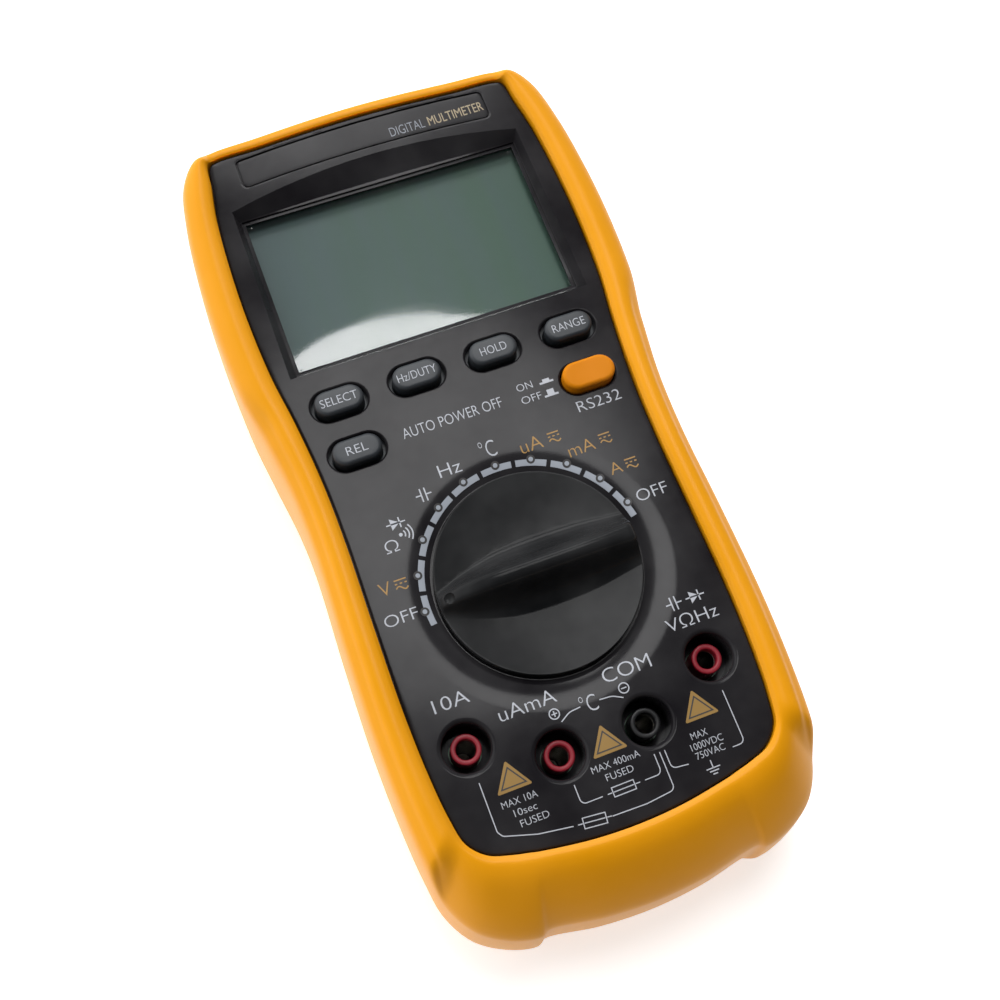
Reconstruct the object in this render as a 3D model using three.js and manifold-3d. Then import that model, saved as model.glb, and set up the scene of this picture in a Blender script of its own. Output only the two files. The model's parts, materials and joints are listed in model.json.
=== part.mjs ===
// A handheld digital multimeter lying on its back in a soft slip-on holster.
// Millimetres. +Z is up out of the face, +Y points to the display end, +X to the right.
// Every piece is drawn in the face frame, whose origin is the dial centre on the face plane.
// The whole group is then moved so that its origin is the bottom centre of the holster.

import * as THREE from 'three';
import { mergeVertices } from 'three/addons/utils/BufferGeometryUtils.js';
import { ParametricGeometry } from 'three/addons/geometries/ParametricGeometry.js';
import { ConvexGeometry } from 'three/addons/geometries/ConvexGeometry.js';
import Module from 'manifold-3d';

const manifold = await Module();
manifold.setup();

// ---------------------------------------------------------------- driving dimensions

const FACE_HEIGHT = 38;
const DIAL_Y = -24.3;
const GAP = 0.3;
const CAVITY_GAP = 0.5;
const ROUND_STEPS = 14;
const DISC_STEPS = 32;

// Levels below the face plane.
const BASE_Z = -FACE_HEIGHT;
const SHOULDER_Z = -2.6;
const FACE_PLATE = 2.4;
const PARTING_Z = -17;
const REAR_FLOOR_Z = -30.5;
const REAR_BACK_Z = -32.7;
const HOLSTER_FLOOR_Z = -33.1;
const SHELL_WALL = 2.2;
const BOARD_TOP_Z = -10;
const BOARD_THICK = 1.6;
const BOARD_UNDER_Z = BOARD_TOP_Z - BOARD_THICK;
const BELOW_BOARD_Z = BOARD_UNDER_Z - GAP;

// Dial and knob.
const KNOB_RADIUS = 22;
const KNOB_RIM_Z = 1.2;
const KNOB_BOWL_DEPTH = 1.7;
const KNOB_BAR_TOP = 8.7;
const DISH_RADIUS = 29.6;
const DISH_FLOOR_RADIUS = 22.6;
const DISH_DEPTH = 1.1;
const KNOB_UNDER_Z = GAP - DISH_DEPTH;
const KNOB_FOOT_Z = KNOB_UNDER_Z + 0.2;
const SHAFT_RADIUS = 6.8;
const SPINDLE_RADIUS = 3.4;
const ROTOR_RADIUS = 18.5;
const ROTOR_TOP_Z = -4.2;
const ROTOR_THICK = 2;
const DIAL_STEP = 18;
const NOTCH_DEPTH = 0.9;

// Display.
const LCD_Y = 80.1;
const LCD_OPENING = [64, 38];
const LENS_SIZE = [66.6, 40.6];
const LENS_TOP_Z = -3.5;
const LENS_THICK = 1.5;
const BEZEL_FLOOR_Z = -2.7;
const BEZEL_BLOCK_Z = -5.2;

// Keys.
const KEY_WELL = [12.7, 7.4];
const KEY_CAP = [11, 5.9];
const KEY_FLANGE = [13.6, 8.6];
const KEY_PROUD = 2;
const KEYS = {
  key_select: [-26.7, 50],
  key_hz_duty: [-8.9, 50.1],
  key_hold: [8.9, 50.1],
  key_range: [26.7, 50],
  key_rel: [-26.7, 38],
};
const SWITCH_BUTTON = [26.7, 38];
const SWITCH_CAP = [12, 6.5];
const SWITCH_PROUD = 2.5;

// Jacks.
const JACKS = {
  '10a': [-26.8, -28.9],
  ma: [-9.5, -36.7],
  com: [9.5, -36.7],
  v: [26.8, -28.9],
};
const JACK_WELL_RADIUS = 5.05;
const JACK_CUP_RADIUS = 6.3;
const JACK_CUP_FLOOR_Z = -8.2;
const SLEEVE_RADIUS = 3.2;
const SLEEVE_BORE = 2.1;
const SLEEVE_TOP_Z = -2.8;
const SLEEVE_END_Z = -9.4;
const SOCKET_BORE = 2.05;
const SOCKET_RADIUS = 2.5;
const SOCKET_TOP_Z = -5.5;
const SOCKET_END_Z = -25;

// Fasteners.
const CASE_POST_RADIUS = 3.3;
const BOARD_POST_RADIUS = 2.4;
const CASE_SCREW_HOLE = 1.8;
const BOARD_SCREW_HOLE = 1.4;
const CASE_SCREW_SEAT_Z = -27;
const CASE_SCREWS = [[-29.5, -44], [29.5, -44], [-28.5, 109.2], [28.5, 109.2]];
const BOARD_SCREWS = [[-14, 33.5], [14, 33.5], [0, -46.5]];

// Battery.
const BATTERY = [48.5, 26.5, 17.5];
const BATTERY_Y = 80;
const DOOR_SIZE = [62, 34];
const DOOR_SCREW = [0, BATTERY_Y - 14.8];

// Stand on the back of the holster.
const STAND_WIDTH = 56;
const STAND_LENGTH = 88;
const STAND_PIVOT_Y = 62;
const STAND_THICK = 2.4;
const STAND_PIVOT_Z = BASE_Z + 0.4 + STAND_THICK / 2;
const STAND_PIN_RADIUS = 0.9;
const PIVOT_HOLE_RADIUS = 1.25;
const RECESS_DEPTH = 3.2;

// The rail round the face, from the top centre down the right side to the bottom centre:
// inner edge x and y, outermost wall x and y, then the section there.
const RAIL_STATIONS = [
  [0, 117.2, 0, 120.2, 'top'],
  [12, 116.9, 12, 119.9, 'top'],
  [24, 116.3, 24, 119.2, 'top'],
  [33.2, 115.6, 34.4, 118.5, 'top'],
  [35.9, 114.2, 39.5, 117.0, 'upper'],
  [36.9, 109.5, 43.2, 112.8, 'upper'],
  [38.3, 101.0, 45.7, 102.0, 'upper'],
  [39.2, 88.0, 47.1, 87.0, 'upper'],
  [39.4, 75.0, 47.4, 74.0, 'upper'],
  [38.7, 60.0, 46.8, 60.0, 'upper'],
  [37.2, 48.0, 45.3, 47.0, 'lower'],
  [36.0, 34.0, 43.7, 34.0, 'lower'],
  [35.7, 20.0, 43.3, 20.0, 'lower'],
  [36.1, 0.0, 44.1, 0.0, 'lower'],
  [36.3, -18.0, 44.6, -20.0, 'lower'],
  [35.8, -32.0, 44.2, -36.0, 'lower'],
  [34.9, -41.0, 43.2, -49.0, 'lower'],
  [33.6, -46.5, 41.6, -57.5, 'end'],
  [30.4, -49.9, 37.6, -64.2, 'end'],
  [26.0, -51.5, 31.2, -68.4, 'end'],
  [22.3, -52.4, 25.2, -69.9, 'end'],
  [20.6, -52.8, 23.4, -69.0, 'end'],
  [10.0, -54.4, 11.5, -70.9, 'end'],
  [0, -54.9, 0, -71.6, 'end'],
];

// Rail sections: how far across from inner edge to outermost wall, and the height there.
const RAIL_SECTIONS = {
  top: [
    [0, 0.2], [0.25, 0.6], [0.5, 0.6], [0.8, 0.2], [0.95, -0.8],
    [1, -3], [1, -10], [1, -21], [0.95, -33],
  ],
  upper: [
    [0, 1.2], [0.1, 2], [0.35, 2.5], [0.6, 2], [0.8, 0.9],
    [0.93, -1.2], [0.98, -5], [1, -20], [0.97, -34],
  ],
  lower: [
    [0, 1.2], [0.1, 2], [0.3, 2.4], [0.5, 2], [0.62, 0.7],
    [0.8, -0.9], [0.92, -5], [1, -18], [0.97, -34],
  ],
  end: [
    [0, 1.2], [0.08, 1.6], [0.25, 0.8], [0.5, -2.2], [0.78, -6.8],
    [0.88, -9.2], [0.91, -11], [1, -24], [0.97, -34],
  ],
};
// How far the case reaches under the rail, and where the base edge lies, across the same span.
const UNDER_RAIL = { top: 0.1, upper: 0.45, lower: 0.42, end: 0.28 };
const BASE_EDGE = { top: 0.6, upper: 0.82, lower: 0.82, end: 0.88 };

// ---------------------------------------------------------------- materials

function finish(color, roughness, metalness = 0) {
  return new THREE.MeshStandardMaterial({ color, roughness, metalness });
}

const MATERIALS = {
  holster: finish(0xf0a41a, 0.35),
  case: finish(0x2a2830, 0.5),
  rear_case: finish(0x26252a, 0.6),
  knob: finish(0x1c1c1f, 0.4),
  key: finish(0x3d444b, 0.7),
  orange: finish(0xe88b1c, 0.4),
  lens: finish(0xc8d4d0, 0.05),
  display: finish(0x56665f, 0.2),
  red: finish(0xa81f35, 0.35),
  black: finish(0x141414, 0.4),
  nickel: finish(0xb9b6ab, 0.3, 1),
  brass: finish(0xc9a24a, 0.3, 1),
  steel: finish(0x8f9296, 0.35, 1),
  board: finish(0x1f6b3c, 0.5),
  rubber: finish(0x35393d, 0.8),
  ceramic: finish(0xe6e2d6, 0.4),
  battery: finish(0x2f4f8f, 0.4),
  varistor: finish(0x2a56a8, 0.5),
};

// ---------------------------------------------------------------- solids

function solidOf(geometry) {
  const bare = geometry.clone();
  bare.deleteAttribute('normal');
  bare.deleteAttribute('uv');
  const merged = mergeVertices(bare, 1e-4);
  const index = merged.index.array;
  const triangles = [];
  for (let i = 0; i < index.length; i += 3) {
    const [a, b, c] = [index[i], index[i + 1], index[i + 2]];
    if (a !== b && b !== c && c !== a) triangles.push(a, b, c);
  }
  const vertProperties = new Float32Array(merged.attributes.position.array);
  if (signedVolume(vertProperties, triangles) < 0) triangles.reverse();
  const triVerts = new Uint32Array(triangles);
  return new manifold.Manifold(new manifold.Mesh({ numProp: 3, vertProperties, triVerts }));
}

function signedVolume(points, triangles) {
  const [a, b, c] = [new THREE.Vector3(), new THREE.Vector3(), new THREE.Vector3()];
  let volume = 0;
  for (let i = 0; i < triangles.length; i += 3) {
    a.fromArray(points, triangles[i] * 3);
    b.fromArray(points, triangles[i + 1] * 3);
    c.fromArray(points, triangles[i + 2] * 3);
    volume += a.dot(b.cross(c)) / 6;
  }
  return volume;
}

function geometryOf(solid) {
  const mesh = solid.getMesh();
  const geometry = new THREE.BufferGeometry();
  geometry.setAttribute('position', new THREE.BufferAttribute(mesh.vertProperties, 3));
  geometry.setIndex(new THREE.BufferAttribute(mesh.triVerts, 1));
  geometry.computeVertexNormals();
  return geometry;
}

function joined(...solids) {
  return solids.reduce((whole, solid) => whole.add(solid));
}

function cutBy(solid, ...tools) {
  return tools.reduce((whole, tool) => whole.subtract(tool), solid);
}

// A box from its centre in x and y and its two levels in z.
function block(x, y, width, length, low, high) {
  const geometry = new THREE.BoxGeometry(width, length, high - low);
  return solidOf(geometry.translate(x, y, (low + high) / 2));
}

function post(x, y, radius, low, high, steps = ROUND_STEPS) {
  const geometry = new THREE.CylinderGeometry(radius, radius, high - low, steps);
  return solidOf(geometry.rotateX(Math.PI / 2).translate(x, y, (low + high) / 2));
}

// A solid of revolution about a vertical axis from [radius, height] points.
function turned(x, y, profile, steps = ROUND_STEPS) {
  const points = profile.map(([radius, height]) => new THREE.Vector2(radius, height));
  const geometry = new THREE.LatheGeometry(points, steps);
  return solidOf(geometry.rotateX(Math.PI / 2).translate(x, y, 0));
}

function slab(shape, low, high, curveSegments = 3) {
  const options = { depth: high - low, bevelEnabled: false, curveSegments };
  return solidOf(new THREE.ExtrudeGeometry(shape, options).translate(0, 0, low));
}

// A rectangle with round corners; a stadium when the radius is half of the shorter side.
function roundedRectangle(x, y, width, length, radius) {
  const [left, right] = [x - width / 2, x + width / 2];
  const [low, high] = [y - length / 2, y + length / 2];
  const shape = new THREE.Shape();
  shape.moveTo(left + radius, low);
  shape.lineTo(right - radius, low);
  shape.absarc(right - radius, low + radius, radius, -Math.PI / 2, 0);
  shape.lineTo(right, high - radius);
  shape.absarc(right - radius, high - radius, radius, 0, Math.PI / 2);
  shape.lineTo(left + radius, high);
  shape.absarc(left + radius, high - radius, radius, Math.PI / 2, Math.PI);
  shape.lineTo(left, low + radius);
  shape.absarc(left + radius, low + radius, radius, Math.PI, Math.PI * 1.5);
  return shape;
}

// A round bar or pin that lies along X.
function crossPin(radius, length, y, z) {
  const geometry = new THREE.CylinderGeometry(radius, radius, length, 12);
  return solidOf(geometry.rotateZ(Math.PI / 2).translate(0, y, z));
}

function stadium([x, y], [width, length], low, high) {
  return slab(roundedRectangle(x, y, width, length, length / 2 - 0.01), low, high);
}

// ---------------------------------------------------------------- the rail round the face

function mirrored([innerX, innerY, outerX, outerY, section]) {
  return [-innerX, innerY, -outerX, outerY, section];
}

const leftStations = RAIL_STATIONS.slice(1, -1).reverse().map(mirrored);
const railLoop = [...RAIL_STATIONS, ...leftStations];
const RAIL_STEPS = railLoop.length;
const innerCurve = closedCurve(railLoop.map(([x, y]) => new THREE.Vector3(x, y, 0)));
const outerCurve = closedCurve(railLoop.map((station) => new THREE.Vector3(station[2], station[3], 0)));

function closedCurve(points) {
  return new THREE.CatmullRomCurve3(points, true, 'centripetal');
}

// A point at turn t round the loop, a share of the way across the rail, moved out by offset.
function acrossRail(t, share, offset = 0) {
  const inner = innerCurve.getPoint(t);
  const span = outerCurve.getPoint(t).sub(inner);
  return inner.addScaledVector(span, share + offset / span.length());
}

// Mix a value kept for each kind of section, between the two stations around t.
function mixAlong(t, valueOf) {
  const place = (t % 1) * railLoop.length;
  const before = Math.floor(place) % railLoop.length;
  const after = (before + 1) % railLoop.length;
  const part = place - Math.floor(place);
  return valueOf(railLoop[before][4]) * (1 - part) + valueOf(railLoop[after][4]) * part;
}

function underRail(t) {
  return mixAlong(t, (name) => UNDER_RAIL[name]);
}

function outline(shareAt, offset) {
  const points = [];
  for (let i = 0; i < RAIL_STEPS; i += 1) {
    const t = i / RAIL_STEPS;
    const point = acrossRail(t, shareAt(t), offset);
    points.push(new THREE.Vector2(point.x, point.y));
  }
  return new THREE.Shape(points);
}

const faceOutline = (offset) => outline(() => 0, offset);
const caseOutline = (offset) => outline(underRail, offset);

// The closed section of the holster wall at t, as [share, height] points.
function holsterSection(t) {
  const crown = [...RAIL_SECTIONS.top.keys()].map((i) => [
    mixAlong(t, (name) => RAIL_SECTIONS[name][i][0]),
    mixAlong(t, (name) => RAIL_SECTIONS[name][i][1]),
  ]);
  const baseEdge = mixAlong(t, (name) => BASE_EDGE[name]);
  const cavity = underRail(t);
  const lipUnder = SHOULDER_Z + GAP;
  return [...crown, [baseEdge, BASE_Z], [cavity, BASE_Z], [cavity, lipUnder], [0, lipUnder]];
}

// ---------------------------------------------------------------- holster and stand

function holsterWall() {
  const rings = RAIL_SECTIONS.top.length + 4;
  const surface = (around, across, target) => {
    const section = holsterSection(around % 1);
    const corner = Math.round(across * rings) % rings;
    const onCavity = corner === rings - 3 || corner === rings - 2;
    const point = acrossRail(around % 1, section[corner][0], onCavity ? CAVITY_GAP : 0);
    target.set(point.x, point.y, section[corner][1]);
  };
  return solidOf(new ParametricGeometry(surface, RAIL_STEPS, rings));
}

function makeHolster() {
  const floor = slab(outline((t) => underRail(t) + 0.12, 0), BASE_Z, HOLSTER_FLOOR_Z);
  const recess = slab(standOutline(0.6), BASE_Z - 1, BASE_Z + RECESS_DEPTH);
  const window = slab(roundedRectangle(0, STAND_PIVOT_Y - 50, 26, 40, 6), BASE_Z, HOLSTER_FLOOR_Z + 1);
  const pivotHole = crossPin(PIVOT_HOLE_RADIUS, STAND_WIDTH + 6.6, STAND_PIVOT_Y, STAND_PIVOT_Z);
  return cutBy(joined(holsterWall(), floor), recess, window, pivotHole);
}

function standOutline(clearance) {
  const length = STAND_LENGTH + 2.4 + clearance * 2;
  const y = STAND_PIVOT_Y + 1.2 + clearance - length / 2;
  return roundedRectangle(0, y, STAND_WIDTH + clearance * 2, length, 2 + clearance);
}

function makeStand() {
  const low = STAND_PIVOT_Z - STAND_THICK / 2;
  const high = STAND_PIVOT_Z + STAND_THICK / 2;
  const plateShape = roundedRectangle(0, STAND_PIVOT_Y - STAND_LENGTH / 2, STAND_WIDTH, STAND_LENGTH, 2);
  const windowShape = roundedRectangle(0, STAND_PIVOT_Y - 46, STAND_WIDTH - 22, 52, 7);
  const frame = cutBy(slab(plateShape, low, high), slab(windowShape, low - 1, high + 1));
  const barrel = crossPin(STAND_THICK / 2, STAND_WIDTH - 5, STAND_PIVOT_Y, STAND_PIVOT_Z);
  const pins = crossPin(STAND_PIN_RADIUS, STAND_WIDTH + 5, STAND_PIVOT_Y, STAND_PIVOT_Z);
  return joined(frame, barrel, pins);
}

// ---------------------------------------------------------------- case

// The sloped bezel: wide and arched at the face, a rectangle at the window.
function bezelFunnel() {
  const points = [];
  for (const side of [-1, 1]) {
    points.push(new THREE.Vector3(side * 34.9, 58.6, 0.01), new THREE.Vector3(side * 34.4, 102, 0.01));
    for (const end of [-1, 1]) {
      points.push(
        new THREE.Vector3((side * LCD_OPENING[0]) / 2, LCD_Y + (end * LCD_OPENING[1]) / 2, BEZEL_FLOOR_Z),
      );
    }
  }
  for (let x = -30; x <= 30; x += 10) {
    points.push(new THREE.Vector3(x, 106.3 - 4.3 * (x / 34.4) ** 2, 0.01));
  }
  return solidOf(new ConvexGeometry(points));
}

// The shallow dish round the knob, flat under the disc and curving up to the face.
function dialDish() {
  const profile = [
    [0, -DISH_DEPTH],
    [DISH_FLOOR_RADIUS, -DISH_DEPTH],
    [DISH_FLOOR_RADIUS + 2.4, -DISH_DEPTH * 0.43],
    [DISH_RADIUS - 2.2, -DISH_DEPTH * 0.1],
    [DISH_RADIUS, 0],
    [DISH_RADIUS, 1],
    [0, 1],
  ];
  return turned(0, 0, profile, DISC_STEPS);
}

function widened([width, length], clearance) {
  return [width + 2 * clearance, length + 2 * clearance];
}

function makeFrontShell() {
  const face = slab(faceOutline(-GAP), SHOULDER_Z - 0.5, 0);
  const skirt = slab(caseOutline(0), PARTING_Z, SHOULDER_Z);
  const hollow = slab(caseOutline(-SHELL_WALL), PARTING_Z - 1, SHOULDER_Z - SHELL_WALL);
  const faceHollow = slab(faceOutline(-GAP - SHELL_WALL), SHOULDER_Z - SHELL_WALL - 1, -FACE_PLATE);
  const bezelBlock = slab(roundedRectangle(0, LCD_Y, 71, 45, 2), BEZEL_BLOCK_Z, -1);
  const cups = Object.values(JACKS).map(([x, y]) => post(x, y, JACK_CUP_RADIUS, SLEEVE_END_Z, -1, 12));
  const casePosts = CASE_SCREWS.map(([x, y]) => post(x, y, CASE_POST_RADIUS, PARTING_Z, -1, 10));
  const boardPosts = BOARD_SCREWS.map(([x, y]) => post(x, y, BOARD_POST_RADIUS, BOARD_TOP_Z + GAP, -1, 8));
  const shell = cutBy(joined(face, skirt), hollow, faceHollow);
  const body = joined(shell, bezelBlock, ...cups, ...casePosts, ...boardPosts);
  const openings = [
    dialDish(),
    post(0, 0, SHAFT_RADIUS + GAP, -10, 1),
    bezelFunnel(),
    block(0, LCD_Y, ...LCD_OPENING, BEZEL_BLOCK_Z, 0),
    block(0, LCD_Y, ...widened(LENS_SIZE, GAP), BEZEL_BLOCK_Z - 1, LENS_TOP_Z + GAP),
    ...Object.values(KEYS).map((place) => stadium(place, KEY_WELL, -5, 1)),
    stadium(SWITCH_BUTTON, widened(SWITCH_CAP, GAP), -5, 1),
    ...Object.values(JACKS).map(([x, y]) => jackWell(x, y)),
    ...CASE_SCREWS.map(([x, y]) => post(x, y, CASE_SCREW_HOLE, PARTING_Z - 1, -5, 8)),
    ...BOARD_SCREWS.map(([x, y]) => post(x, y, BOARD_SCREW_HOLE, BOARD_TOP_Z - 1, -4.5, 8)),
  ];
  return cutBy(body, ...openings);
}

// The well round a jack, with its rim rounded over, and the hole for the sleeve.
function jackWell(x, y) {
  const rim = JACK_WELL_RADIUS + 1.05;
  const profile = [
    [0, JACK_CUP_FLOOR_Z],
    [JACK_WELL_RADIUS, JACK_CUP_FLOOR_Z],
    [JACK_WELL_RADIUS, -1],
    [JACK_WELL_RADIUS + 0.3, -0.3],
    [rim, 0],
    [rim, 1],
    [0, 1],
  ];
  const sleeveHole = post(x, y, SLEEVE_RADIUS + GAP, SLEEVE_END_Z - 1, JACK_CUP_FLOOR_Z + 1);
  return joined(turned(x, y, profile), sleeveHole);
}

function makeRearShell() {
  const tray = slab(caseOutline(0), REAR_BACK_Z, PARTING_Z - GAP);
  const hollow = slab(caseOutline(-SHELL_WALL), REAR_FLOOR_Z, PARTING_Z + 1);
  const posts = CASE_SCREWS.map(([x, y]) => post(x, y, 4.2, REAR_FLOOR_Z - 1, PARTING_Z - GAP, 12));
  const doorway = roundedRectangle(0, BATTERY_Y, ...widened(DOOR_SIZE, GAP), 2);
  const openings = [
    slab(doorway, REAR_BACK_Z - 1, REAR_FLOOR_Z + 1),
    ...CASE_SCREWS.map(([x, y]) => post(x, y, 1.9, REAR_BACK_Z - 1, PARTING_Z + 1, 8)),
    ...CASE_SCREWS.map(([x, y]) => post(x, y, 3.2, REAR_BACK_Z - 1, CASE_SCREW_SEAT_Z, 12)),
  ];
  return cutBy(joined(cutBy(tray, hollow), ...posts), ...openings);
}

function makeBatteryDoor() {
  const plate = slab(roundedRectangle(0, BATTERY_Y, ...DOOR_SIZE, 1.8), REAR_BACK_Z, REAR_FLOOR_Z);
  const screwHole = post(...DOOR_SCREW, 1.2, REAR_BACK_Z - 1, REAR_FLOOR_Z + 1, 12);
  const headSeat = post(...DOOR_SCREW, 1.9, REAR_BACK_Z - 1, REAR_BACK_Z + 1.2, 12);
  return cutBy(plate, screwHole, headSeat);
}

function makeLens() {
  return slab(roundedRectangle(0, LCD_Y, ...LENS_SIZE, 1), LENS_TOP_Z - LENS_THICK, LENS_TOP_Z, 3);
}

// ---------------------------------------------------------------- knob and rotary switch

// The finger bar runs right across the disc; its pointer end is lower and slopes down.
function knobBar() {
  const ribs = [
    // x, half width at the foot, half width at the top, height of the top
    [-21.4, 3.2, 1.4, 3.6],
    [-15, 5.4, 2.4, 7.6],
    [-6, 6.8, 2.7, KNOB_BAR_TOP],
    [10, 6.8, 2.7, KNOB_BAR_TOP],
    [21.3, 5, 2.5, 8.1],
  ];
  const points = ribs.flatMap(([x, foot, top, height]) => [-1, 1].flatMap((side) => [
    new THREE.Vector3(x, side * foot, KNOB_FOOT_Z),
    new THREE.Vector3(x, side * top, height - 0.7),
    new THREE.Vector3(x, side * top * 0.6, height),
  ]));
  return solidOf(new ConvexGeometry(points));
}

function makeKnob() {
  const profile = [
    [0, ROTOR_TOP_Z - ROTOR_THICK - 1],
    [SPINDLE_RADIUS, ROTOR_TOP_Z - ROTOR_THICK - 1],
    [SPINDLE_RADIUS, ROTOR_TOP_Z + GAP],
    [SHAFT_RADIUS, ROTOR_TOP_Z + GAP],
    [SHAFT_RADIUS, KNOB_UNDER_Z],
    [KNOB_RADIUS, KNOB_UNDER_Z],
    [KNOB_RADIUS, KNOB_RIM_Z - 0.3],
    [KNOB_RADIUS - 0.3, KNOB_RIM_Z],
    [KNOB_RADIUS * 0.7, KNOB_RIM_Z - KNOB_BOWL_DEPTH * 0.5],
    [0, KNOB_RIM_Z - KNOB_BOWL_DEPTH],
  ];
  return joined(turned(0, 0, profile, DISC_STEPS), knobBar());
}

// A disc under the face with one notch in its rim for each dial step.
function makeRotor() {
  const low = ROTOR_TOP_Z - ROTOR_THICK;
  const rim = [];
  for (let turn = 0; turn < 360; turn += DIAL_STEP / 2) {
    const angle = THREE.MathUtils.degToRad(turn);
    const radius = turn % DIAL_STEP === 0 ? ROTOR_RADIUS - NOTCH_DEPTH : ROTOR_RADIUS;
    rim.push(new THREE.Vector2(radius * Math.cos(angle), radius * Math.sin(angle)));
  }
  const bore = post(0, 0, SPINDLE_RADIUS + GAP, low - 1, ROTOR_TOP_Z + 1);
  return cutBy(slab(new THREE.Shape(rim), low, ROTOR_TOP_Z), bore);
}

// A bent strip that hangs from the rotor and slides on the board.
function makeWiper(radius, reach) {
  const high = ROTOR_TOP_Z - ROTOR_THICK - GAP;
  const low = BOARD_TOP_Z + GAP;
  const profile = new THREE.Shape();
  profile.moveTo(-reach, high);
  profile.lineTo(-reach, high - 0.4);
  profile.lineTo(-1.2, high - 0.4);
  profile.lineTo(reach - 1, low);
  profile.lineTo(reach, low);
  profile.lineTo(reach, low + 0.5);
  profile.lineTo(-0.8, high);
  const strip = new THREE.ExtrudeGeometry(profile, { depth: 3, bevelEnabled: false });
  strip.rotateX(Math.PI / 2).translate(0, radius + 1.5, 0);
  return solidOf(strip);
}

// A leaf whose bent nose points at the scallops of the rotor.
function makeDetentSpring(side) {
  const profile = new THREE.Shape();
  const nose = ROTOR_RADIUS + GAP;
  profile.moveTo(nose, 0);
  profile.lineTo(nose + 1.6, 2.5);
  profile.lineTo(nose + 1.6, 9);
  profile.lineTo(nose + 2.1, 9);
  profile.lineTo(nose + 2.1, -9);
  profile.lineTo(nose + 1.6, -9);
  profile.lineTo(nose + 1.6, -2.5);
  const strip = slab(profile, ROTOR_TOP_Z - ROTOR_THICK, ROTOR_TOP_Z);
  return side > 0 ? strip : strip.rotate([0, 0, 180]);
}

// ---------------------------------------------------------------- keys and switches

function makeKey(place) {
  const cap = stadium(place, KEY_CAP, -3.2, KEY_PROUD);
  const flange = stadium(place, KEY_FLANGE, -4.2, -FACE_PLATE - GAP);
  const stem = post(...place, 2, -7.4, -4, 8);
  return joined(cap, flange, stem);
}

// One silicone mat with a low dome under each key.
function makeKeypadMat() {
  const low = BOARD_TOP_Z + GAP;
  const row = slab(roundedRectangle(0, 50, 70, 9, 3), low, low + 0.6);
  const tab = slab(roundedRectangle(-26.7, 42, 12, 15, 3), low, low + 0.6);
  const dome = [[0, low], [3.6, low], [2.6, -8.7], [0, -8.7]];
  return joined(row, tab, ...Object.values(KEYS).map(([x, y]) => turned(x, y, dome, 8)));
}

function makeSwitchButton() {
  const cap = stadium(SWITCH_BUTTON, SWITCH_CAP, -2.2, SWITCH_PROUD);
  const stem = block(...SWITCH_BUTTON, 5, 3, -2.6, -2);
  return joined(cap, stem);
}

function makePushSwitch() {
  const [x, y] = SWITCH_BUTTON;
  const body = block(x, y, 8.5, 8.5, BOARD_TOP_Z + GAP, -5.6);
  const collar = block(x, y, 5.5, 5.5, -6, -5);
  return joined(body, collar);
}

// ---------------------------------------------------------------- jacks

function makeJackSleeve([x, y]) {
  const wide = SOCKET_RADIUS + GAP;
  const profile = [
    [SLEEVE_BORE, SOCKET_TOP_Z + GAP],
    [wide, SOCKET_TOP_Z + GAP],
    [wide, SLEEVE_END_Z],
    [SLEEVE_RADIUS, SLEEVE_END_Z],
    [SLEEVE_RADIUS, SLEEVE_TOP_Z],
    [SLEEVE_BORE, SLEEVE_TOP_Z],
    [SLEEVE_BORE, SOCKET_TOP_Z + GAP],
  ];
  return turned(x, y, profile, 16);
}

function makeJackSocket([x, y]) {
  const profile = [
    [0, SOCKET_END_Z],
    [SOCKET_RADIUS, SOCKET_END_Z],
    [SOCKET_RADIUS, BELOW_BOARD_Z - 1],
    [4.3, BELOW_BOARD_Z - 1],
    [4.3, BELOW_BOARD_Z],
    [SOCKET_RADIUS, BELOW_BOARD_Z],
    [SOCKET_RADIUS, SOCKET_TOP_Z],
    [SOCKET_BORE, SOCKET_TOP_Z],
    [SOCKET_BORE, SOCKET_END_Z + 1],
    [0, SOCKET_END_Z + 1],
  ];
  return turned(x, y, profile, 12);
}

// ---------------------------------------------------------------- display stack

function makeLcdPanel() {
  return joined(
    block(0, LCD_Y + 0.6, 68, 42, -7, -5.6),
    block(0, LCD_Y - 1, 68, 39, -8.2, -6.9),
  );
}

function makeLcdFrame() {
  const outer = slab(roundedRectangle(0, LCD_Y, 73, 49, 2), BOARD_TOP_Z + GAP, -5.6);
  return cutBy(outer, block(0, LCD_Y, 68.8, 44.2, -11, -5));
}

function makeZebraStrip(y) {
  return block(0, y, 62, 2, BOARD_TOP_Z + GAP, -8.5);
}

// ---------------------------------------------------------------- board and what it carries

function makeBoard() {
  const inside = slab(caseOutline(-SHELL_WALL - 1), BOARD_UNDER_Z, BOARD_TOP_Z);
  const reach = block(0, 26, 90, 157, BOARD_UNDER_Z - 1, BOARD_TOP_Z + 1);
  const hole = (x, y, radius, steps) => post(x, y, radius, BOARD_UNDER_Z - 1, BOARD_TOP_Z + 1, steps);
  const holes = [
    ...Object.values(JACKS).map(([x, y]) => hole(x, y, SOCKET_RADIUS + GAP, 12)),
    ...CASE_SCREWS.map(([x, y]) => hole(x, y, CASE_POST_RADIUS + 2 * GAP, 10)),
    ...BOARD_SCREWS.map(([x, y]) => hole(x, y, BOARD_SCREW_HOLE, 8)),
    hole(0, 0, SPINDLE_RADIUS + GAP, 12),
  ];
  return cutBy(inside.intersect(reach), ...holes);
}

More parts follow.
